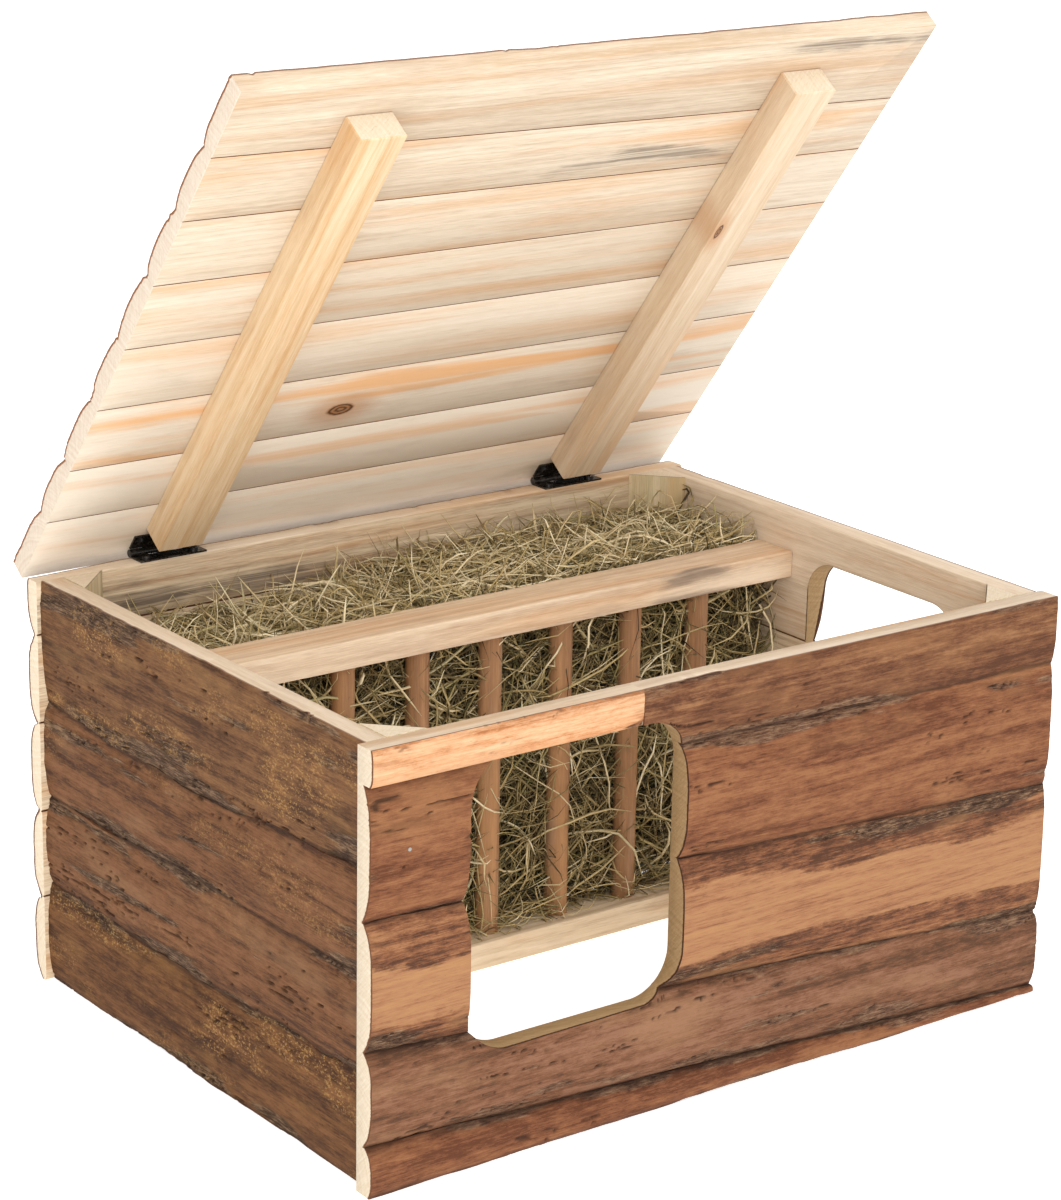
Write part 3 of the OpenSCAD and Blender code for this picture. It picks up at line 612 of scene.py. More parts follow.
def slab(node, place, body, s_ends, t_ends, seed, bark, sides, section=None, inner=INNER, fat=0.5, thick=12.6,
         drops=(6.5, 6.5), power=3.6, step=(1.2, 1.0), rough=1.0, bare=(0.5, 0.2, 0.0), shaggy=0.0, moss=0.0,
         calm=0.0, streak=(FAR_OFF, 9, 0, 1), thin_end=0.0, wave=(1.6, 1.6), extra_s=(), extra_t=(),
         slot="bark_slab", tone=(0, 0.3, 1), stain=None, knot=None, end_wear=0.5):
    """One slab: a grid of s and t between its ends, planed flat on d = 0.

    The bark side stands at thick minus a drop that grows towards each seam as the part of
    the way there to the given power, plus the bark's own height. section gives the seams of
    the whole course where a doorway cuts it short. sides are the four edges' materials, in
    the order low t, high s, high t, low s.
    """
    s_low, s_high = s_ends
    t_low, t_high = t_ends
    sec_low, sec_high = section or t_ends
    mid = (at(s_low, 0) + at(s_high, 0)) / 2
    first_s, first_t = at(s_low, STRAIGHT_RUN), at(t_low, mid)
    long_s, tall = at(s_high, STRAIGHT_RUN) - first_s, at(t_high, mid) - first_t
    u = np.linspace(0, 1, max(3, int(long_s / step[0])))
    v = np.linspace(0, 1, max(3, int(abs(tall) / step[1])))
    u = np.unique(np.clip(np.concatenate([u, (np.asarray(extra_s, float) - first_s) / long_s]), 0, 1))
    v = np.unique(np.clip(np.concatenate([v, (np.asarray(extra_t, float) - first_t) / tall]), 0, 1))
    grid_u, grid_v = np.meshgrid(u, v)

    def spread(wavy):
        """The grid's s and t: each depends on the other, so both are settled in a few rounds."""
        s = first_s + long_s * grid_u
        t = first_t + tall * grid_v
        for _ in range(6):
            low, high = t_low(s), t_high(s)
            if wavy:
                low = low + wave[0] * fbm(s / 38, low / 9 + 3, 7, 4)
                high = high + wave[1] * fbm(s / 38, high / 9 + 3, 7, 4)
            t = low + (high - low) * grid_v
            s = s_low(t) + (s_high(t) - s_low(t)) * grid_u
        return s, t

    s, t = spread(True)
    flat_s, flat_t = spread(False)
    w = np.clip((t - sec_low(s)) / (sec_high(s) - sec_low(s)), 0, 1)
    drop = np.where(w < fat, drops[0] * np.clip(1 - w / fat, 0, 1) ** power,
                    drops[1] * np.clip((w - fat) / (1 - fat), 0, 1) ** power)
    drop = drop * (1 - calm * smooth(150, 390, s)) + thin_end * smooth(70, 0, s)
    height, crack, bared, shag, tint, mossy = plates(s, t, w, seed, rough, bare, shaggy, moss, streak)
    # Close to each seam the bark is darkened: painted shade in the seam between slabs
    from_seam = np.minimum(w * (drops[0] > 2) + (drops[0] <= 2), (1 - w) * (drops[1] > 2) + (drops[1] <= 2))
    painted_seam_shade = smooth(1.6, 0.2, from_seam * abs(tall) + 0.5 * fbm(s / 9, t / 3, seed + 20, 3))
    d = np.clip(thick - drop + height, THINNEST, SLAB_T + 0.9)

    # Points: the bark grid, a ring at the worn edge, a ring on the planed face
    nv, nu = s.shape
    ring = ring_of(nv, nu)
    edge_s, edge_t = flat_s.ravel()[ring], flat_t.ravel()[ring]
    in_s, in_t = inset(edge_s, edge_t, end_wear)
    count, m = nv * nu, len(ring)
    all_s = np.concatenate([s.ravel(), edge_s, in_s])
    all_t = np.concatenate([t.ravel(), edge_t, in_t])
    all_d = np.concatenate([d.ravel(), np.full(m, end_wear), np.zeros(m)])
    grid = np.arange(count).reshape(nv, nu)
    ring_b = count + np.arange(m)
    ring_c = ring_b + m
    if len(extra_s) + len(extra_t) > 0:
        # A doorway's edge is hollow, so the planed face is a grid too, not one wide face
        back_grid = np.empty(count, np.int64)
        back_grid[grid[1:-1, 1:-1].ravel()] = count + 2 * m + np.arange((nv - 2) * (nu - 2))
        back_grid[ring] = ring_c
        back = quads_of(back_grid.reshape(nv, nu))[:, ::-1]
        all_s = np.concatenate([all_s, flat_s[1:-1, 1:-1].ravel()])
        all_t = np.concatenate([all_t, flat_t[1:-1, 1:-1].ravel()])
        all_d = np.concatenate([all_d, np.zeros((nv - 2) * (nu - 2))])
    else:
        back = ring_c[::-1][None, :]
    front = quads_of(grid)
    faces = [front, join_rings(ring, ring_b), join_rings(ring_b, ring_c), back]
    if turns_over(place):
        faces = [f[:, ::-1] for f in faces]
    side_of = np.repeat(np.arange(4), [nu - 1, nv - 1, nu - 1, nv - 1])
    index = np.concatenate([np.zeros(len(front)), 2 + side_of, 2 + side_of, np.ones(len(back))])
    flat = np.concatenate([np.zeros(len(front)), np.ones(2 * m + len(back))])
    n = len(all_s)

    def padded(*grids):
        """Grids of values as columns, with zeros for the points off the bark side."""
        return np.stack([np.concatenate([g.ravel(), np.zeros(n - count)]) for g in grids], -1)

    depth = np.concatenate([np.zeros(count), d.ravel()[ring] - end_wear, d.ravel()[ring],
                            np.full(n - count - 2 * m, 9.0)])
    attributes = wood_values(all_s, all_t, all_d, 700.0 * (seed % 23), depth, tone, stain, knot)
    # The crack mask also carries the painted seam shade
    attributes["bark"] = padded(np.maximum(crack, 0.8 * painted_seam_shade), bared, shag)
    attributes["zone"] = padded(tint, mossy, 0 * tint)
    name = node.replace("_slab", "_board") if "_slab" in node else node + "_board"
    obj = new_piece(name, place(all_s, all_t, all_d), faces,
                    [bark, inner] + list(sides), index, flat, attributes, body, slot, node)
    obj.data.set_sharp_from_angle(angle=math.radians(48))
    return obj


def line(*heights):
    """A seam: heights at even steps from one end of the wall to the other, joined smoothly."""
    def at(s, low=-OVER, high=HOUSE_W + OVER):
        return np.interp(s, np.linspace(low, high, len(heights)), heights)
    return at


def fixed(value):
    return lambda x: np.full(np.shape(x), float(value))


def corner(x, low, high, r):
    """How far a rounded doorway's edge stands in at x, from 0 on its straight run to r."""
    past = np.clip(np.maximum(low + r - x, x - (high - r)), 0, r)
    return r - np.sqrt(r * r - past * past)


def arcs(low, high, r):
    """Close steps through both rounded corners of a doorway."""
    turn = r * (1 - np.cos(np.radians(np.arange(0, 91, 6))))
    return np.concatenate([low + turn, high - turn])


# Front wall
fx0, fx1, fz0, fz1, fr = FRONT_DOOR
GROUND = fixed(0)
TOP = fixed(WALL_H)
seam_base = line(23, 18.2, 13.5, 8.8, 4)
seam_low = line(68, 61, 56.5, 51, 44)
seam_mid = line(128, 124.5, 118.5, 115, 111)
seam_top = line(176, 176, 176, 175, 174)


def door_foot(s):
    inside = (s > fx0) & (s < fx1)
    return np.where(inside, fz0 + corner(s, fx0, fx1, fr), 999.0)


def door_head(s):
    inside = (s > fx0) & (s < fx1)
    return np.where(inside, fz1 - corner(s, fx0, fx1, fr), -999.0)


LEFT_END, RIGHT_END = fixed(-OVER), fixed(HOUSE_W + OVER)
arc_s, arc_t = arcs(fx0, fx1, fr), arcs(fz0, fz1, fr)
front_before = (LEFT_END, lambda t: fx0 + corner(t, fz0, fz1, fr))
front_past = (lambda t: fx1 - corner(t, fz0, fz1, fr), RIGHT_END)
# Edges, in the order low t, high s, high t, low s
LEFT_OF_DOOR = (BARK_BROWN, JAMB, BARK_BROWN, SAWN)
RIGHT_OF_DOOR = (BARK_BROWN, SAWN, BARK_BROWN, JAMB)

slab("front_base_slab", on_front, "house", (LEFT_END, RIGHT_END), (GROUND, seam_base), 101, BARK_RED,
     (SAWN, SAWN, BARK_BROWN, SAWN), drops=(2.5, 5), fat=0.4, shaggy=0.05, wave=(0.5, 1.0), calm=0.5)
slab("front_low_slab", on_front, "house", (LEFT_END, RIGHT_END),
     (seam_base, lambda s: np.minimum(seam_low(s), door_foot(s))), 112, BARK_LOW,
     (BARK_BROWN, SAWN, JAMB, SAWN), (seam_base, seam_low), shaggy=0.08, rough=1.1, wave=(1.0, 0),
     extra_s=arc_s, fat=0.55, calm=0.5)
slab("front_middle_slab_left", on_front, "house", front_before, (seam_low, seam_mid), 123, BARE_TAN,
     LEFT_OF_DOOR, bare=(0.5, 0.24, 0.8), rough=0.8, extra_t=arc_t, slot="peeled_slab", wave=(0, 1.6))
slab("front_middle_slab_right", on_front, "house", front_past, (seam_low, seam_mid), 134, BARE_TAN,
     RIGHT_OF_DOOR, bare=(0.5, 0.25, 1.0), rough=0.8, extra_t=arc_t, slot="peeled_slab", wave=(0, 1.6),
     calm=0.6)
slab("front_upper_slab_left", on_front, "house", front_before, (seam_mid, fixed(fz1)), 145, BARK_RED,
     LEFT_OF_DOOR, thick=11, drops=(6, 5), shaggy=0.15, extra_t=arc_t, wave=(1.6, 0))
slab("front_upper_slab_right", on_front, "house", front_past, (seam_mid, seam_top), 156, BARK_RED,
     RIGHT_OF_DOOR, shaggy=-0.12, rough=0.9, extra_t=arc_t, wave=(1.6, 1.8), calm=0.6,
     streak=(222, 50, 1.0, 0.13))
slab("front_top_slab", on_front, "house", (fixed(LINTEL_END), RIGHT_END),
     (lambda s: np.maximum(seam_top(s), door_head(s)), TOP), 167, BARK_BROWN, (JAMB, SAWN, PLANED, SAWN),
     (seam_top, TOP), fat=0.7, drops=(5, 1.0), bare=(0.75, 0.2, 0.35), rough=0.9, shaggy=-0.05,
     streak=(228, 60, 0.08, 0.25), wave=(1.8, 0), extra_s=arc_s, calm=0.6)
slab("front_lintel", on_front, "house", (LEFT_END, fixed(LINTEL_END)), (fixed(fz1), TOP), 178, BARE_PEACH,
     (JAMB, SAWN, PLANED, SAWN), drops=(2.0, 1.0), bare=(0.6, 0.4, 0.55), rough=0.6, wave=(0, 0),
     shaggy=-0.1, streak=(146, 12, 0.3, 0.5), slot="peeled_slab", step=(1.0, 0.8))


# Blank side wall; s runs from the front wall to the back wall
def side_line(*heights):
    seam = line(*heights)
    return lambda s: seam(s, 0.0, INNER_D)


side_seams = [GROUND, side_line(53, 54, 48, 51, 52), side_line(100, 98, 100, 97, 97),
              side_line(150, 146, 141, 141, 147), TOP]
SIDE_ENDS = (fixed(0), fixed(INNER_D))
side_looks = [("left_base_slab", BARK_BASE, 0.75), ("left_low_slab", BARK_LEFT, 0.15),
              ("left_middle_slab", BARK_LEFT, 0.35), ("left_top_slab", BARK_DARK, 0.7)]
for i, (node, bark, moss) in enumerate(side_looks):
    top = i == 3
    slab(node, on_left, "house", SIDE_ENDS, (side_seams[i], side_seams[i + 1]), 211 + 11 * i, bark,
         (SAWN if i == 0 else BARK_BROWN, SAWN, PLANED if top else BARK_BROWN, SAWN), rough=1.2,
         fat=0.8 if top else 0.5, drops=(2.8, 1.0) if top else (2.8, 2.8), power=2.6, shaggy=0.1, moss=moss,
         wave=(0 if i == 0 else 1.8, 0 if top else 1.8))

# Side wall with the doorway
rs0, rs1, rz0, rz1, rr = SIDE_DOOR
SIDE_MID_SEAM, SIDE_TOP_SEAM = 98.0, 143.0


def side_head(s):
    inside = (s > rs0) & (s < rs1)
    return np.where(inside, rz1 - corner(s, rs0, rs1, rr), SIDE_TOP_SEAM)


before_door = (fixed(0), lambda t: rs0 + corner(t, rz0, rz1, rr))
past_door = (lambda t: rs1 - corner(t, rz0, rz1, rr), fixed(INNER_D))
side_arc_t, side_arc_s = arcs(rz0, rz1, rr), arcs(rs0, rs1, rr)
# The head's height jumps at the doorway's sides, so the grid has a line close to either side of each
jumps = [rs0 - 0.02, rs0 + 0.02, rs1 - 0.02, rs1 + 0.02]
coarse = dict(step=(2.0, 1.4), rough=1.1, shaggy=0.05)
sill, mid_seam, top_seam = fixed(rz0), fixed(SIDE_MID_SEAM), fixed(SIDE_TOP_SEAM)
slab("right_base_slab", on_right, "house", SIDE_ENDS, (GROUND, sill), 301, BARK_LEFT,
     (SAWN, SAWN, JAMB, SAWN), wave=(0, 0), **coarse)
courses = (("low", (sill, mid_seam), BARK_BROWN, (0, 1.5), 312),
           ("middle", (mid_seam, top_seam), BARK_RED, (1.5, 0), 334))
for course, seams, bark, wave, seed in courses:
    slab(f"right_{course}_slab_front", on_right, "house", before_door, seams, seed, bark, LEFT_OF_DOOR,
         extra_t=side_arc_t if course == "low" else (), wave=wave, **coarse)
    slab(f"right_{course}_slab_rear", on_right, "house", past_door, seams, seed + 11, bark, RIGHT_OF_DOOR,
         extra_t=side_arc_t if course == "low" else (), wave=wave, **coarse)
slab("right_top_slab", on_right, "house", SIDE_ENDS, (side_head, TOP), 356, BARK_LEFT,
     (JAMB, SAWN, PLANED, SAWN), (top_seam, TOP), extra_s=np.concatenate([side_arc_s, jumps]), wave=(0, 0),
     fat=0.8, drops=(6, 1), inner=PLANED, **coarse)

# Back wall
back_heights = [0, 45, 90, 136, 181, WALL_H]
back_looks = (("base", BARK_BROWN), ("low", BARK_RED), ("middle", BARK_LEFT), ("upper", BARK_BROWN),
              ("top", BARK_DARK))
for i, (course, bark) in enumerate(back_looks):
    ends = (fixed(back_heights[i]), fixed(back_heights[i + 1]))
    top = course == "top"
    slab(f"back_{course}_slab", on_back, "house", (LEFT_END, RIGHT_END), ends, 401 + 11 * i, bark,
         (SAWN if i == 0 else BARK_BROWN, SAWN, PLANED if top else BARK_BROWN, SAWN),
         wave=(0 if i == 0 else 1.8, 0 if top else 1.8), fat=0.8 if top else 0.5,
         drops=(6, 1) if top else (6, 6), thick=12.3 if top else 12.6, thin_end=3.6,
         stain=(70, 190, 130, 9, 0.9) if top else None, **coarse)

# Lid; s runs along X and t from the hinge edge
lid_left = [-LID_LAP, 40.5, 79.5, 123.5, 166.5, 209.5, 251.5, 291.5, LID_L]
lid_right = [-LID_LAP, 41.5, 80.5, 123.5, 165.5, 207.5, 246.5, 282.5, LID_L]
lid_seams = [line(a, b) for a, b in zip(lid_left, lid_right)]
LID_ENDS = (fixed(0), fixed(HOUSE_W))
# Each board's first tone value is painted light and shade: lighter towards the hinge edge and darker towards
# the front edge, to even out how the light falls on the open lid. The other two values are random tone.
lid_tones_and_painted_light = [(-0.2, 0.3, 0.8), (-0.25, 0.5, 0.6), (-0.1, 0.8, 1.0), (-0.06, 0.3, 0.5),
             (0.0, 0.4, 0.8), (0.04, 0.3, 0.6), (0.08, 0.4, 0.9), (0.12, 0.2, 1.3)]
for i in range(8):
    last = i == 7
    slab(f"lid_slab_{i + 1}", on_lid, "lid", LID_ENDS, (lid_seams[i], lid_seams[i + 1]), 501 + 11 * i,
         BARK_LID, (PLANED if i == 0 else BARK_LID, SAWN_LID, PLANED if last else BARK_LID, SAWN_LID),
         inner=LID_INNER, thick=10.6, drops=(0.8 if i == 0 else 3, 0.8 if last else 3), power=2.6,
         fat=0.6 if i == 0 else 0.4 if last else 0.5, step=(2.0, 1.3),
         wave=(0 if i == 0 else 1.5, 0 if last else 1.5), tone=lid_tones_and_painted_light[i], end_wear=0.3,
         stain={6: (250, 260, 60, 8, 0.8), 7: (335, 325, 70, 5, 0.9)}.get(i),
         knot=(146, 95) if i == 2 else None)

# ---- bars: rails, posts, dowels and battens ----

BAR_RINGS = 24


def bar(name, profile, length, place, materials, body, slot, node, worn=0.6, tone=(0, 0.3, 1), stain=None,
        knot=None, seed=0):
    """A profile of (a, b) points carried along length, with both ends' edges worn round.

    Rings stand at even steps, and at each end the last one is drawn in by the wear.
    """
    a, b = np.asarray(profile, float).T
    low, high = length
    inner_a, inner_b = inset(a, b, worn)
    ring_l = np.concatenate([[low], np.linspace(low + worn, high - worn, BAR_RINGS), [high]])
    k = len(a)
    all_l = np.repeat(ring_l, k)
    all_a = np.concatenate([inner_a, np.tile(a, BAR_RINGS), inner_a])
    all_b = np.concatenate([inner_b, np.tile(b, BAR_RINGS), inner_b])
    rings = np.arange(len(ring_l) * k).reshape(-1, k)
    walls = np.concatenate([join_rings(rings[j + 1], rings[j]) for j in range(len(ring_l) - 1)])
    faces = [walls, rings[0][::-1][None, :], rings[-1][None, :]]
    if turns_over(place):
        faces = [f[:, ::-1] for f in faces]
    caps = np.concatenate([np.zeros(len(walls)), [1, 1]])
    attributes = wood_values(all_l, all_a, all_b, 613.0 * seed, np.full(len(all_l), 20.0), tone, stain, knot,
                             (1.5, 2.4))
    obj = new_piece(name, place(all_l, all_a, all_b), faces, materials, caps, caps, attributes, body, slot,
                    node)
    obj.data.set_sharp_from_angle(angle=math.radians(32))
    return obj


def rounded(corners, r=0.8, steps=3):
    """A closed outline with every corner cut by a small arc."""
    points = []
    for i, corner_point in enumerate(corners):
        here = np.array(corner_point, float)
        back = np.array(corners[i - 1], float) - here
        ahead = np.array(corners[(i + 1) % len(corners)], float) - here
        back, ahead = back / np.linalg.norm(back), ahead / np.linalg.norm(ahead)
        for f in np.linspace(0, 1, steps + 1):
            points.append(here + r * ((1 - f) ** 2 * back + f**2 * ahead))
    return points


def rectangle(a0, a1, b0, b1, r=0.8):
    return rounded([(a0, b0), (a1, b0), (a1, b1), (a0, b1)], r)


def along_x(length, a, b):
    """Length on X, a on Y and b on Z."""
    return as_is(length, a, b)


def along_z(length, a, b):
    return as_is(a, b, length)


RAIL_X = (SLAB_T, HOUSE_W - SLAB_T)
bar("rack_top_bar", rectangle(RACK_Y, RACK_Y + RAIL_D, RAIL_TOP - RAIL_H, RAIL_TOP), RAIL_X, along_x,
    [RAIL, SAWN], "house", "planed_wood", "rack_top_rail", tone=(0.02, 0.3, 1.5),
    stain=(322, 162, 34, 12, 0.8), seed=3)
bar("rack_bottom_bar", rectangle(RACK_Y, RACK_Y + RAIL_D, 0, RAIL_H), RAIL_X, along_x,
    [INNER, SAWN], "house", "dowel_wood", "rack_bottom_rail", tone=(-0.05, 0.3, 1), seed=5)
circle = np.radians(np.arange(0, 360, 10))
DOWEL_SPAN = (5.0, RAIL_TOP - RAIL_H + 9)
for i in range(DOWELS):
    cx = HOUSE_W / 2 + (i - (DOWELS - 1) / 2) * DOWEL_PITCH
    r = DOWEL_D / 2
    round_bar = np.stack([cx + r * np.cos(circle), DOWEL_Y + r * np.sin(circle)], -1)
    bar(f"rack_rod_{i + 1}", round_bar, DOWEL_SPAN, along_z, [DOWEL, SAWN],
        "house", "dowel_wood", f"rack_dowel_{i + 1}", tone=(0.02 * (i % 3), 0.3, 1), seed=11 + i)

for side_y, y, sy in (("front", 0, 1), ("back", INNER_D, -1)):
    for side_x, x, sx in zip(("left", "right"), RAIL_X, (1, -1)):
        corners = [(x, y), (x + sx * POST_LEG, y), (x, y + sy * POST_LEG)]
        if sx * sy < 0:
            corners = corners[::-1]
        bar(f"corner_{side_y}_{side_x}", rounded(corners, 0.5, 2), (0.0, WALL_H), along_z, [POST, SAWN],
            "house", "planed_wood", f"post_{side_y}_{side_x}", seed=21 + sx + 2 * sy, worn=0.4)

BATTEN_T, BATTEN_W, BATTEN_INSET = 15.0, 25.0, 74.0
batten_span = (21.0, 310.0)


def lid_bar(length, a, b):
    """Length on the lid's t, a on its s and b on its d."""
    return on_lid(a, length, b)


battens = (("left", BATTEN_INSET, PINE_WARM, 31, None),
           ("right", HOUSE_W - BATTEN_INSET, PINE_PALE, 32, (214, 313)))
for name, x, wood, seed, knot in battens:
    bar(f"lid_strip_{name}", rectangle(x - BATTEN_W / 2, x + BATTEN_W / 2, -BATTEN_T, 0, 0.7), batten_span,
        lid_bar, [wood, SAWN], "lid", "batten_wood", f"lid_batten_{name}", seed=seed, tone=(0.0, 0.4, 0.4),
        knot=knot)

# ---- hay ----

STRAND_POINTS = 7
HAY_TOP = 186.0


def strands(name, centre, heading, bend, length, radius, shade, green):
    """Closed three-sided stalks along bent lines, all worked out at once.

    A stalk's middle line is centre + length (p heading + bend p squared), with p from -0.5 to
    0.5, and its radius narrows at both ends.
    """
    n, points = len(centre), STRAND_POINTS
    p = np.linspace(-0.5, 0.5, points)[None, :, None]
    heading = heading / np.linalg.norm(heading, axis=1, keepdims=True)
    middle = centre[:, None] + length[:, None, None] * (p * heading[:, None] + (p * p - 0.08) * bend[:, None])
    wiggle = np.sin(p * 9 + 7 * shade[:, None, None]) * 0.03 * length[:, None, None]
    middle = middle + wiggle * np.cross(heading, bend + 0.3)[:, None]
    middle = keep_in(middle)
    ahead = np.gradient(middle, axis=1)
    ahead /= np.linalg.norm(ahead, axis=2, keepdims=True) + 1e-9
    side = np.cross(ahead, np.array([0.31, 0.52, 0.79]))
    side /= np.linalg.norm(side, axis=2, keepdims=True) + 1e-9
    other = np.cross(ahead, side)
    narrow = (1 - 0.8 * (2 * np.abs(p)) ** 4) * radius[:, None, None]
    turn = np.array([0, 2.094, 4.189])  # the three corners, a third of a turn apart
    rings = (middle[:, :, None] + narrow[:, :, None] * (side[:, :, None] * np.cos(turn)[None, None, :, None]
             + other[:, :, None] * np.sin(turn)[None, None, :, None]))
    verts = rings.reshape(-1, 3)
    base = (np.arange(n) * points * 3)[:, None, None]
    j = np.arange(points - 1)[None, :, None] * 3
    k = np.arange(3)[None, None, :]
    k2 = (k + 1) % 3
    quads = np.stack([base + j + k, base + j + k2, base + j + 3 + k2, base + j + 3 + k], -1).reshape(-1, 4)
    first = base[:, :, 0] + np.array([2, 1, 0])
    last = base[:, :, 0] + (points - 1) * 3 + np.array([0, 1, 2])
    caps = np.concatenate([first, last])
    columns = (shade[:, None, None], (p + 0.5) * length[:, None, None], green[:, None, None])
    strand = np.concatenate([np.broadcast_to(column, (n, points, 1)) for column in columns], -1)
    strand = np.repeat(strand, 3, axis=1).reshape(-1, 3)
    flat = np.concatenate([np.zeros(len(quads)), np.ones(len(caps))])
    return new_piece(name, verts, [quads, caps], [HAY], 0 * flat, flat, {"strand": strand}, "house", "hay")


def keep_in(points):
    """Keeps strands between the side walls, the back wall, the floor and the lid, and off the rails."""
    x, y, z = points[..., 0], points[..., 1], points[..., 2]
    x = np.clip(x, SLAB_T + 1, HOUSE_W - SLAB_T - 1)
    y = np.clip(y, 168.0, INNER_D - 1)
    behind = (y < RACK_Y + RAIL_D + 1) & ((z > RAIL_TOP - RAIL_H - 0.5) | (z < RAIL_H + 0.5))
    y = np.where(behind, RACK_Y + RAIL_D + 1 + 0.15 * (RACK_Y + RAIL_D + 1 - y), y)
    z = np.clip(z, 0.8, 205.0)
    return np.stack([x, y, z], -1)


rng = np.random.default_rng(20260)


def sunk(x, z):
    """How much lower the hay's top lies towards the blank side wall."""
    return 13 * smooth(270, 70, x) * smooth(120, 170, z)


def turned(n, spread):
    """Random directions, with each axis weighted."""
    return rng.normal(size=(n, 3)) * np.asarray(spread)


def hay_batch(name, n, low, high, spread, lengths, radii, shades, painted_shade_axis=0):
    """n strands between two corners; the last argument gives the axis along which they darken inwards, as
    painted shade deeper in the hay.
    """
    centre = rng.uniform(low, high, size=(n, 3))
    inward = (np.asarray(high) - centre)[:, 2] if painted_shade_axis == 2 else (centre - np.asarray(low))[:, 1]
    deep = np.clip(inward / 14.0, 0, 1) if painted_shade_axis else 0.0
    centre[:, 2] -= sunk(centre[:, 0], centre[:, 2])
    heading = turned(n, spread)
    bend = turned(n, (0.5, 0.35, 0.5))
    length = rng.uniform(*lengths, n)
    radius = rng.uniform(*radii, n)
    # Deeper strands are darkened: painted shade
    shade = np.clip(rng.normal(shades[0], shades[1], n) - 0.42 * deep, 0, 1)
    green = (rng.random(n) < 0.3) * rng.random(n)
    return strands(name, centre, heading, bend, length, radius, shade, green)


def hay_core():
    """Closed lump behind the strands: a squared-off ball with noise, coloured nearly black as painted shade
    in the hay's depths.
    """
    nu, nv = 90, 46
    lon = np.linspace(0, 2 * np.pi, nu, endpoint=False)
    lat = np.linspace(-np.pi / 2, np.pi / 2, nv)[1:-1]
    lo, la = np.meshgrid(lon, lat)

    def bent(v):
        return np.sign(v) * np.abs(v) ** 0.35

    x = bent(np.cos(la)) * bent(np.cos(lo))
    y = bent(np.cos(la)) * bent(np.sin(lo))
    z = bent(np.sin(la))
    centre = np.array([HOUSE_W / 2, 235.0, 93.0])
    half = np.array([181.0, 40.0, 86.0])
    lump = 1 + 0.03 * fbm(lo * 9, la * 9, 5, 3)
    body = np.stack([x, y, z], -1) * lump[..., None] * half + centre
    points = np.concatenate([body.reshape(-1, 3), [centre - [0, 0, half[2]]], [centre + [0, 0, half[2]]]])
    points[:, 1] = np.clip(points[:, 1], 193, INNER_D - 1)
    points[:, 2] -= sunk(points[:, 0], points[:, 2])
    rows = nv - 2
    grid = np.arange(rows * nu).reshape(rows, nu)
    quads = quads_of(np.concatenate([grid, grid[:, :1]], 1))
    south, north = rows * nu, rows * nu + 1
    low = np.stack([np.full(nu, south), np.roll(grid[0], -1), grid[0]], -1)
    high = np.stack([np.full(nu, north), grid[-1], np.roll(grid[-1], -1)], -1)
    # Nearly black: painted shade between the strands deep in the hay
    shade = 0.01 + 0.02 * (fbm(points[:, 0] / 6, points[:, 2] / 5, 3, 3) > 0)
    strand = np.stack([shade, points[:, 0], 0 * shade], -1)
    zero = np.zeros(len(quads) + 2 * nu)
    return new_piece("hay_core", points, [quads, low, high], [HAY], zero, zero, {"strand": strand},
                     "house", "hay", "hay")


hay_core()
front_low, front_high = (20, 184, 8), (376, 192, 178)
top_low, top_high = (18, 196, HAY_TOP - 14), (378, 276, HAY_TOP)
thin, stout = (0.2, 0.45), (0.45, 0.85)
# The front batches, seen through the rack, are given dark shades and the top batches light ones: painted
# shade on the hay's front and painted light on its top.
hay_batch("hay_front_1", 3600, front_low, front_high, (1, 0.25, 0.9), (18, 60), thin, (0.30, 0.20), 1)
hay_batch("hay_front_2", 2200, (20, 181, 8), (376, 188, 178), (1, 0.3, 0.8), (22, 80), thin, (0.45, 0.24), 1)
hay_batch("hay_front_3", 520, (22, 178, 10), (374, 186, 172), (1, 0.3, 0.9), (22, 75), stout, (0.60, 0.26), 1)
hay_batch("hay_top_1", 3600, top_low, top_high, (1, 1, 0.16), (18, 60), thin, (0.62, 0.24), 2)
hay_batch("hay_top_2", 2400, top_low, (378, 276, HAY_TOP + 4), (1, 1, 0.3), (20, 75), thin, (0.75, 0.24), 2)
hay_batch("hay_top_3", 700, (20, 198, HAY_TOP - 6), (376, 274, HAY_TOP + 6), (1, 1, 0.35), (22, 80), stout,
          (0.85, 0.20), 2)
hay_batch("hay_loose", 150, (30, 172, 15), (370, 186, 172), (1, 0.5, 1), (30, 80), (0.35, 0.7), (0.75, 0.2))
hay_batch("hay_loose_top", 160, (30, 200, HAY_TOP), (370, 270, HAY_TOP + 7), (1, 1, 0.9), (30, 75),
          (0.3, 0.6), (0.75, 0.2))
hay_batch("hay_stalks", 34, (40, 178, 30), (360, 268, HAY_TOP + 2), (0.5, 0.4, 1), (40, 80), (0.9, 1.5),
          (0.95, 0.08))
hay_batch("hay_wisps", 260, (22, 168, 12), (374, 182, 26), (1, 0.8, 0.25), (18, 55), thin, (0.5, 0.25))

# ---- hinges, screws and brads keep their own shapes ----
for node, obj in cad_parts.items():
    if node.startswith("hinge"):
        finish = BLACK
    elif node.endswith("brads"):
        finish = STEEL
    else:
        continue
    obj.data.materials.clear()
    obj.data.materials.append(finish)

# ---- floor, light and camera ----


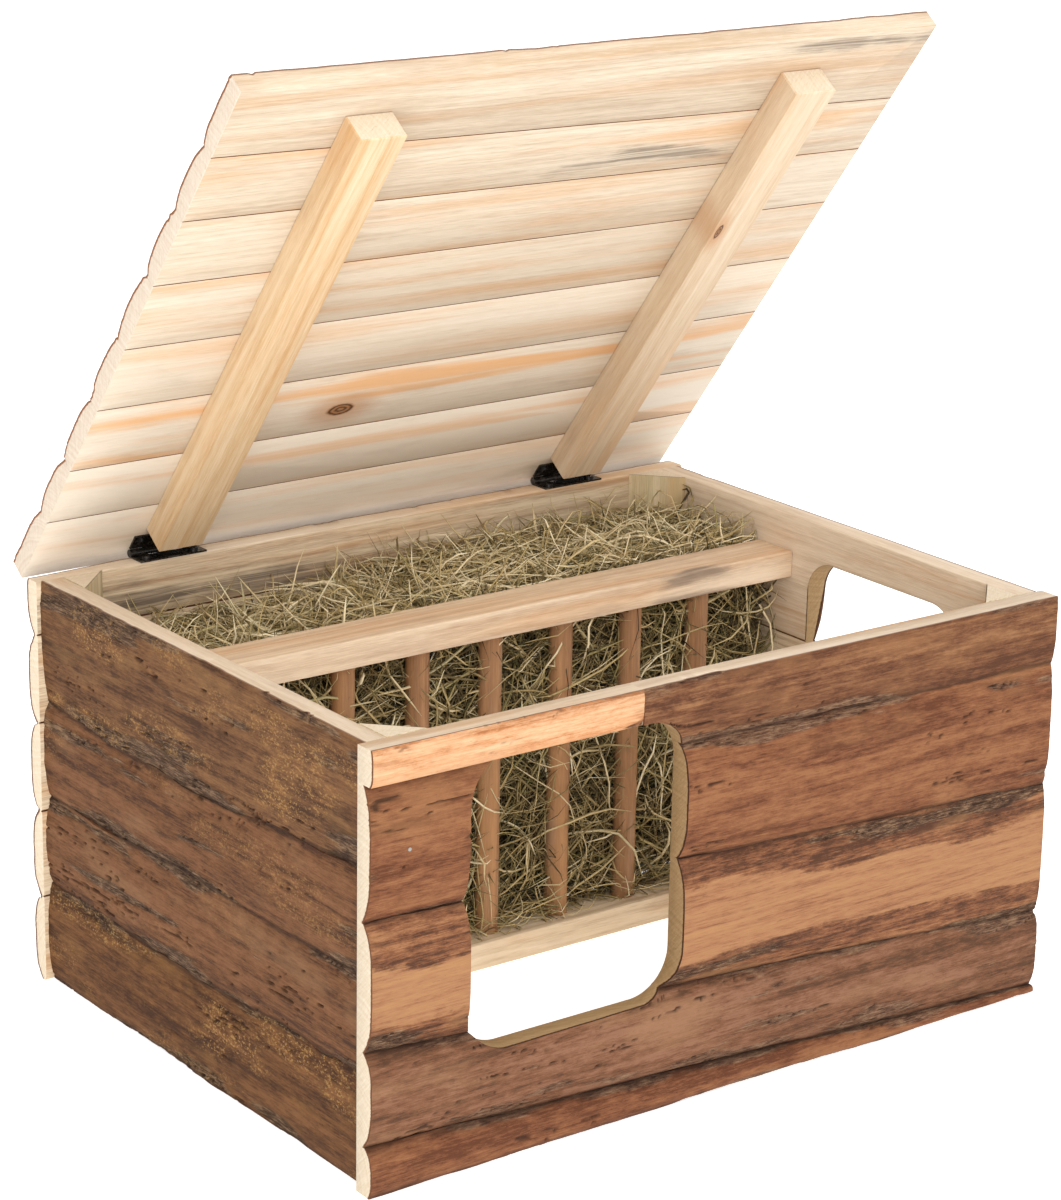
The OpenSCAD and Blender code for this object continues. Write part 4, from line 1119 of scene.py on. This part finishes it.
def floor():
    """A round pale floor, wide enough to fill every view."""
    radius, just_under = 6.0, -0.0004
    turn = np.linspace(0, 2 * np.pi, 64, endpoint=False)
    points = [(radius * math.cos(a), radius * math.sin(a), just_under) for a in turn]
    mesh = bpy.data.meshes.new("floor")
    mesh.from_pydata(points, [], [list(range(64))])
    material, tree, shader = new_material("pale floor")
    vector = put(tree, "ShaderNodeTexCoord").outputs["Object"]
    tint = put(tree, "ShaderNodeTexNoise", {"Vector": vector, "Scale": 3.0}).outputs["Fac"]
    pale = blend(tree, tint, (0.93, 0.93, 0.93, 1), (0.95, 0.95, 0.95, 1))
    tree.links.new(pale, shader.inputs["Base Color"])
    shader.inputs["Roughness"].default_value = 0.9
    shader.inputs["Specular IOR Level"].default_value = 0.1
    shader.inputs["Emission Color"].default_value = (1, 1, 1, 1)
    shader.inputs["Emission Strength"].default_value = 0.6
    mesh.materials.append(material)
    obj = bpy.data.objects.new("floor", mesh)
    bpy.context.scene.collection.objects.link(obj)


def soft_light(name, place, aim, size, power):
    light = bpy.data.lights.new(name, "AREA")
    light.shape = "DISK"
    light.size = size
    light.energy = power
    obj = bpy.data.objects.new(name, light)
    bpy.context.scene.collection.objects.link(obj)
    back = Vector(place) - Vector(aim)
    obj.matrix_world = Matrix.Translation(place) @ back.to_track_quat("Z", "Y").to_matrix().to_4x4()


floor()
world = bpy.data.worlds.new("studio")
bpy.context.scene.world = world
world.use_nodes = True
world.node_tree.nodes["Background"].inputs["Color"].default_value = (1, 1, 1, 1)
world.node_tree.nodes["Background"].inputs["Strength"].default_value = 0.85
soft_light("key", place=(-1.1, -2.3, 1.0), aim=(0, 0, 0.15), size=2.0, power=37)
soft_light("top", place=(0.3, -0.9, 2.2), aim=(0, 0, 0.12), size=1.6, power=12)
bpy.context.scene.view_settings.view_transform = "Standard"

# The camera's direction in radians, its target in house mm, its distance in metres and its lens in mm
AZIMUTH, ELEVATION, ROLL = -0.6431, 0.3018, 0.0184
AIM = to_row(np.array([177.0, 118.8, 209.8]))
DISTANCE, LENS, SENSOR = 1.666, 104.934, 36.0
back = np.array([math.sin(AZIMUTH) * math.cos(ELEVATION), -math.cos(AZIMUTH) * math.cos(ELEVATION),
                 math.sin(ELEVATION)])
right = np.cross([0, 0, 1], back)
right /= np.linalg.norm(right)
up = np.cross(back, right)
turned_right = math.cos(ROLL) * right + math.sin(ROLL) * up
turned_up = -math.sin(ROLL) * right + math.cos(ROLL) * up
camera = bpy.data.objects.new("camera", bpy.data.cameras.new("camera"))
bpy.context.scene.collection.objects.link(camera)
pose = np.eye(4)
pose[:3, 0], pose[:3, 1], pose[:3, 2] = turned_right, turned_up, back
pose[:3, 3] = AIM + back * DISTANCE
camera.matrix_world = Matrix(pose.tolist())
camera.data.sensor_width = SENSOR
camera.data.lens = LENS
camera.data.clip_end = 20.0
bpy.context.scene.camera = camera
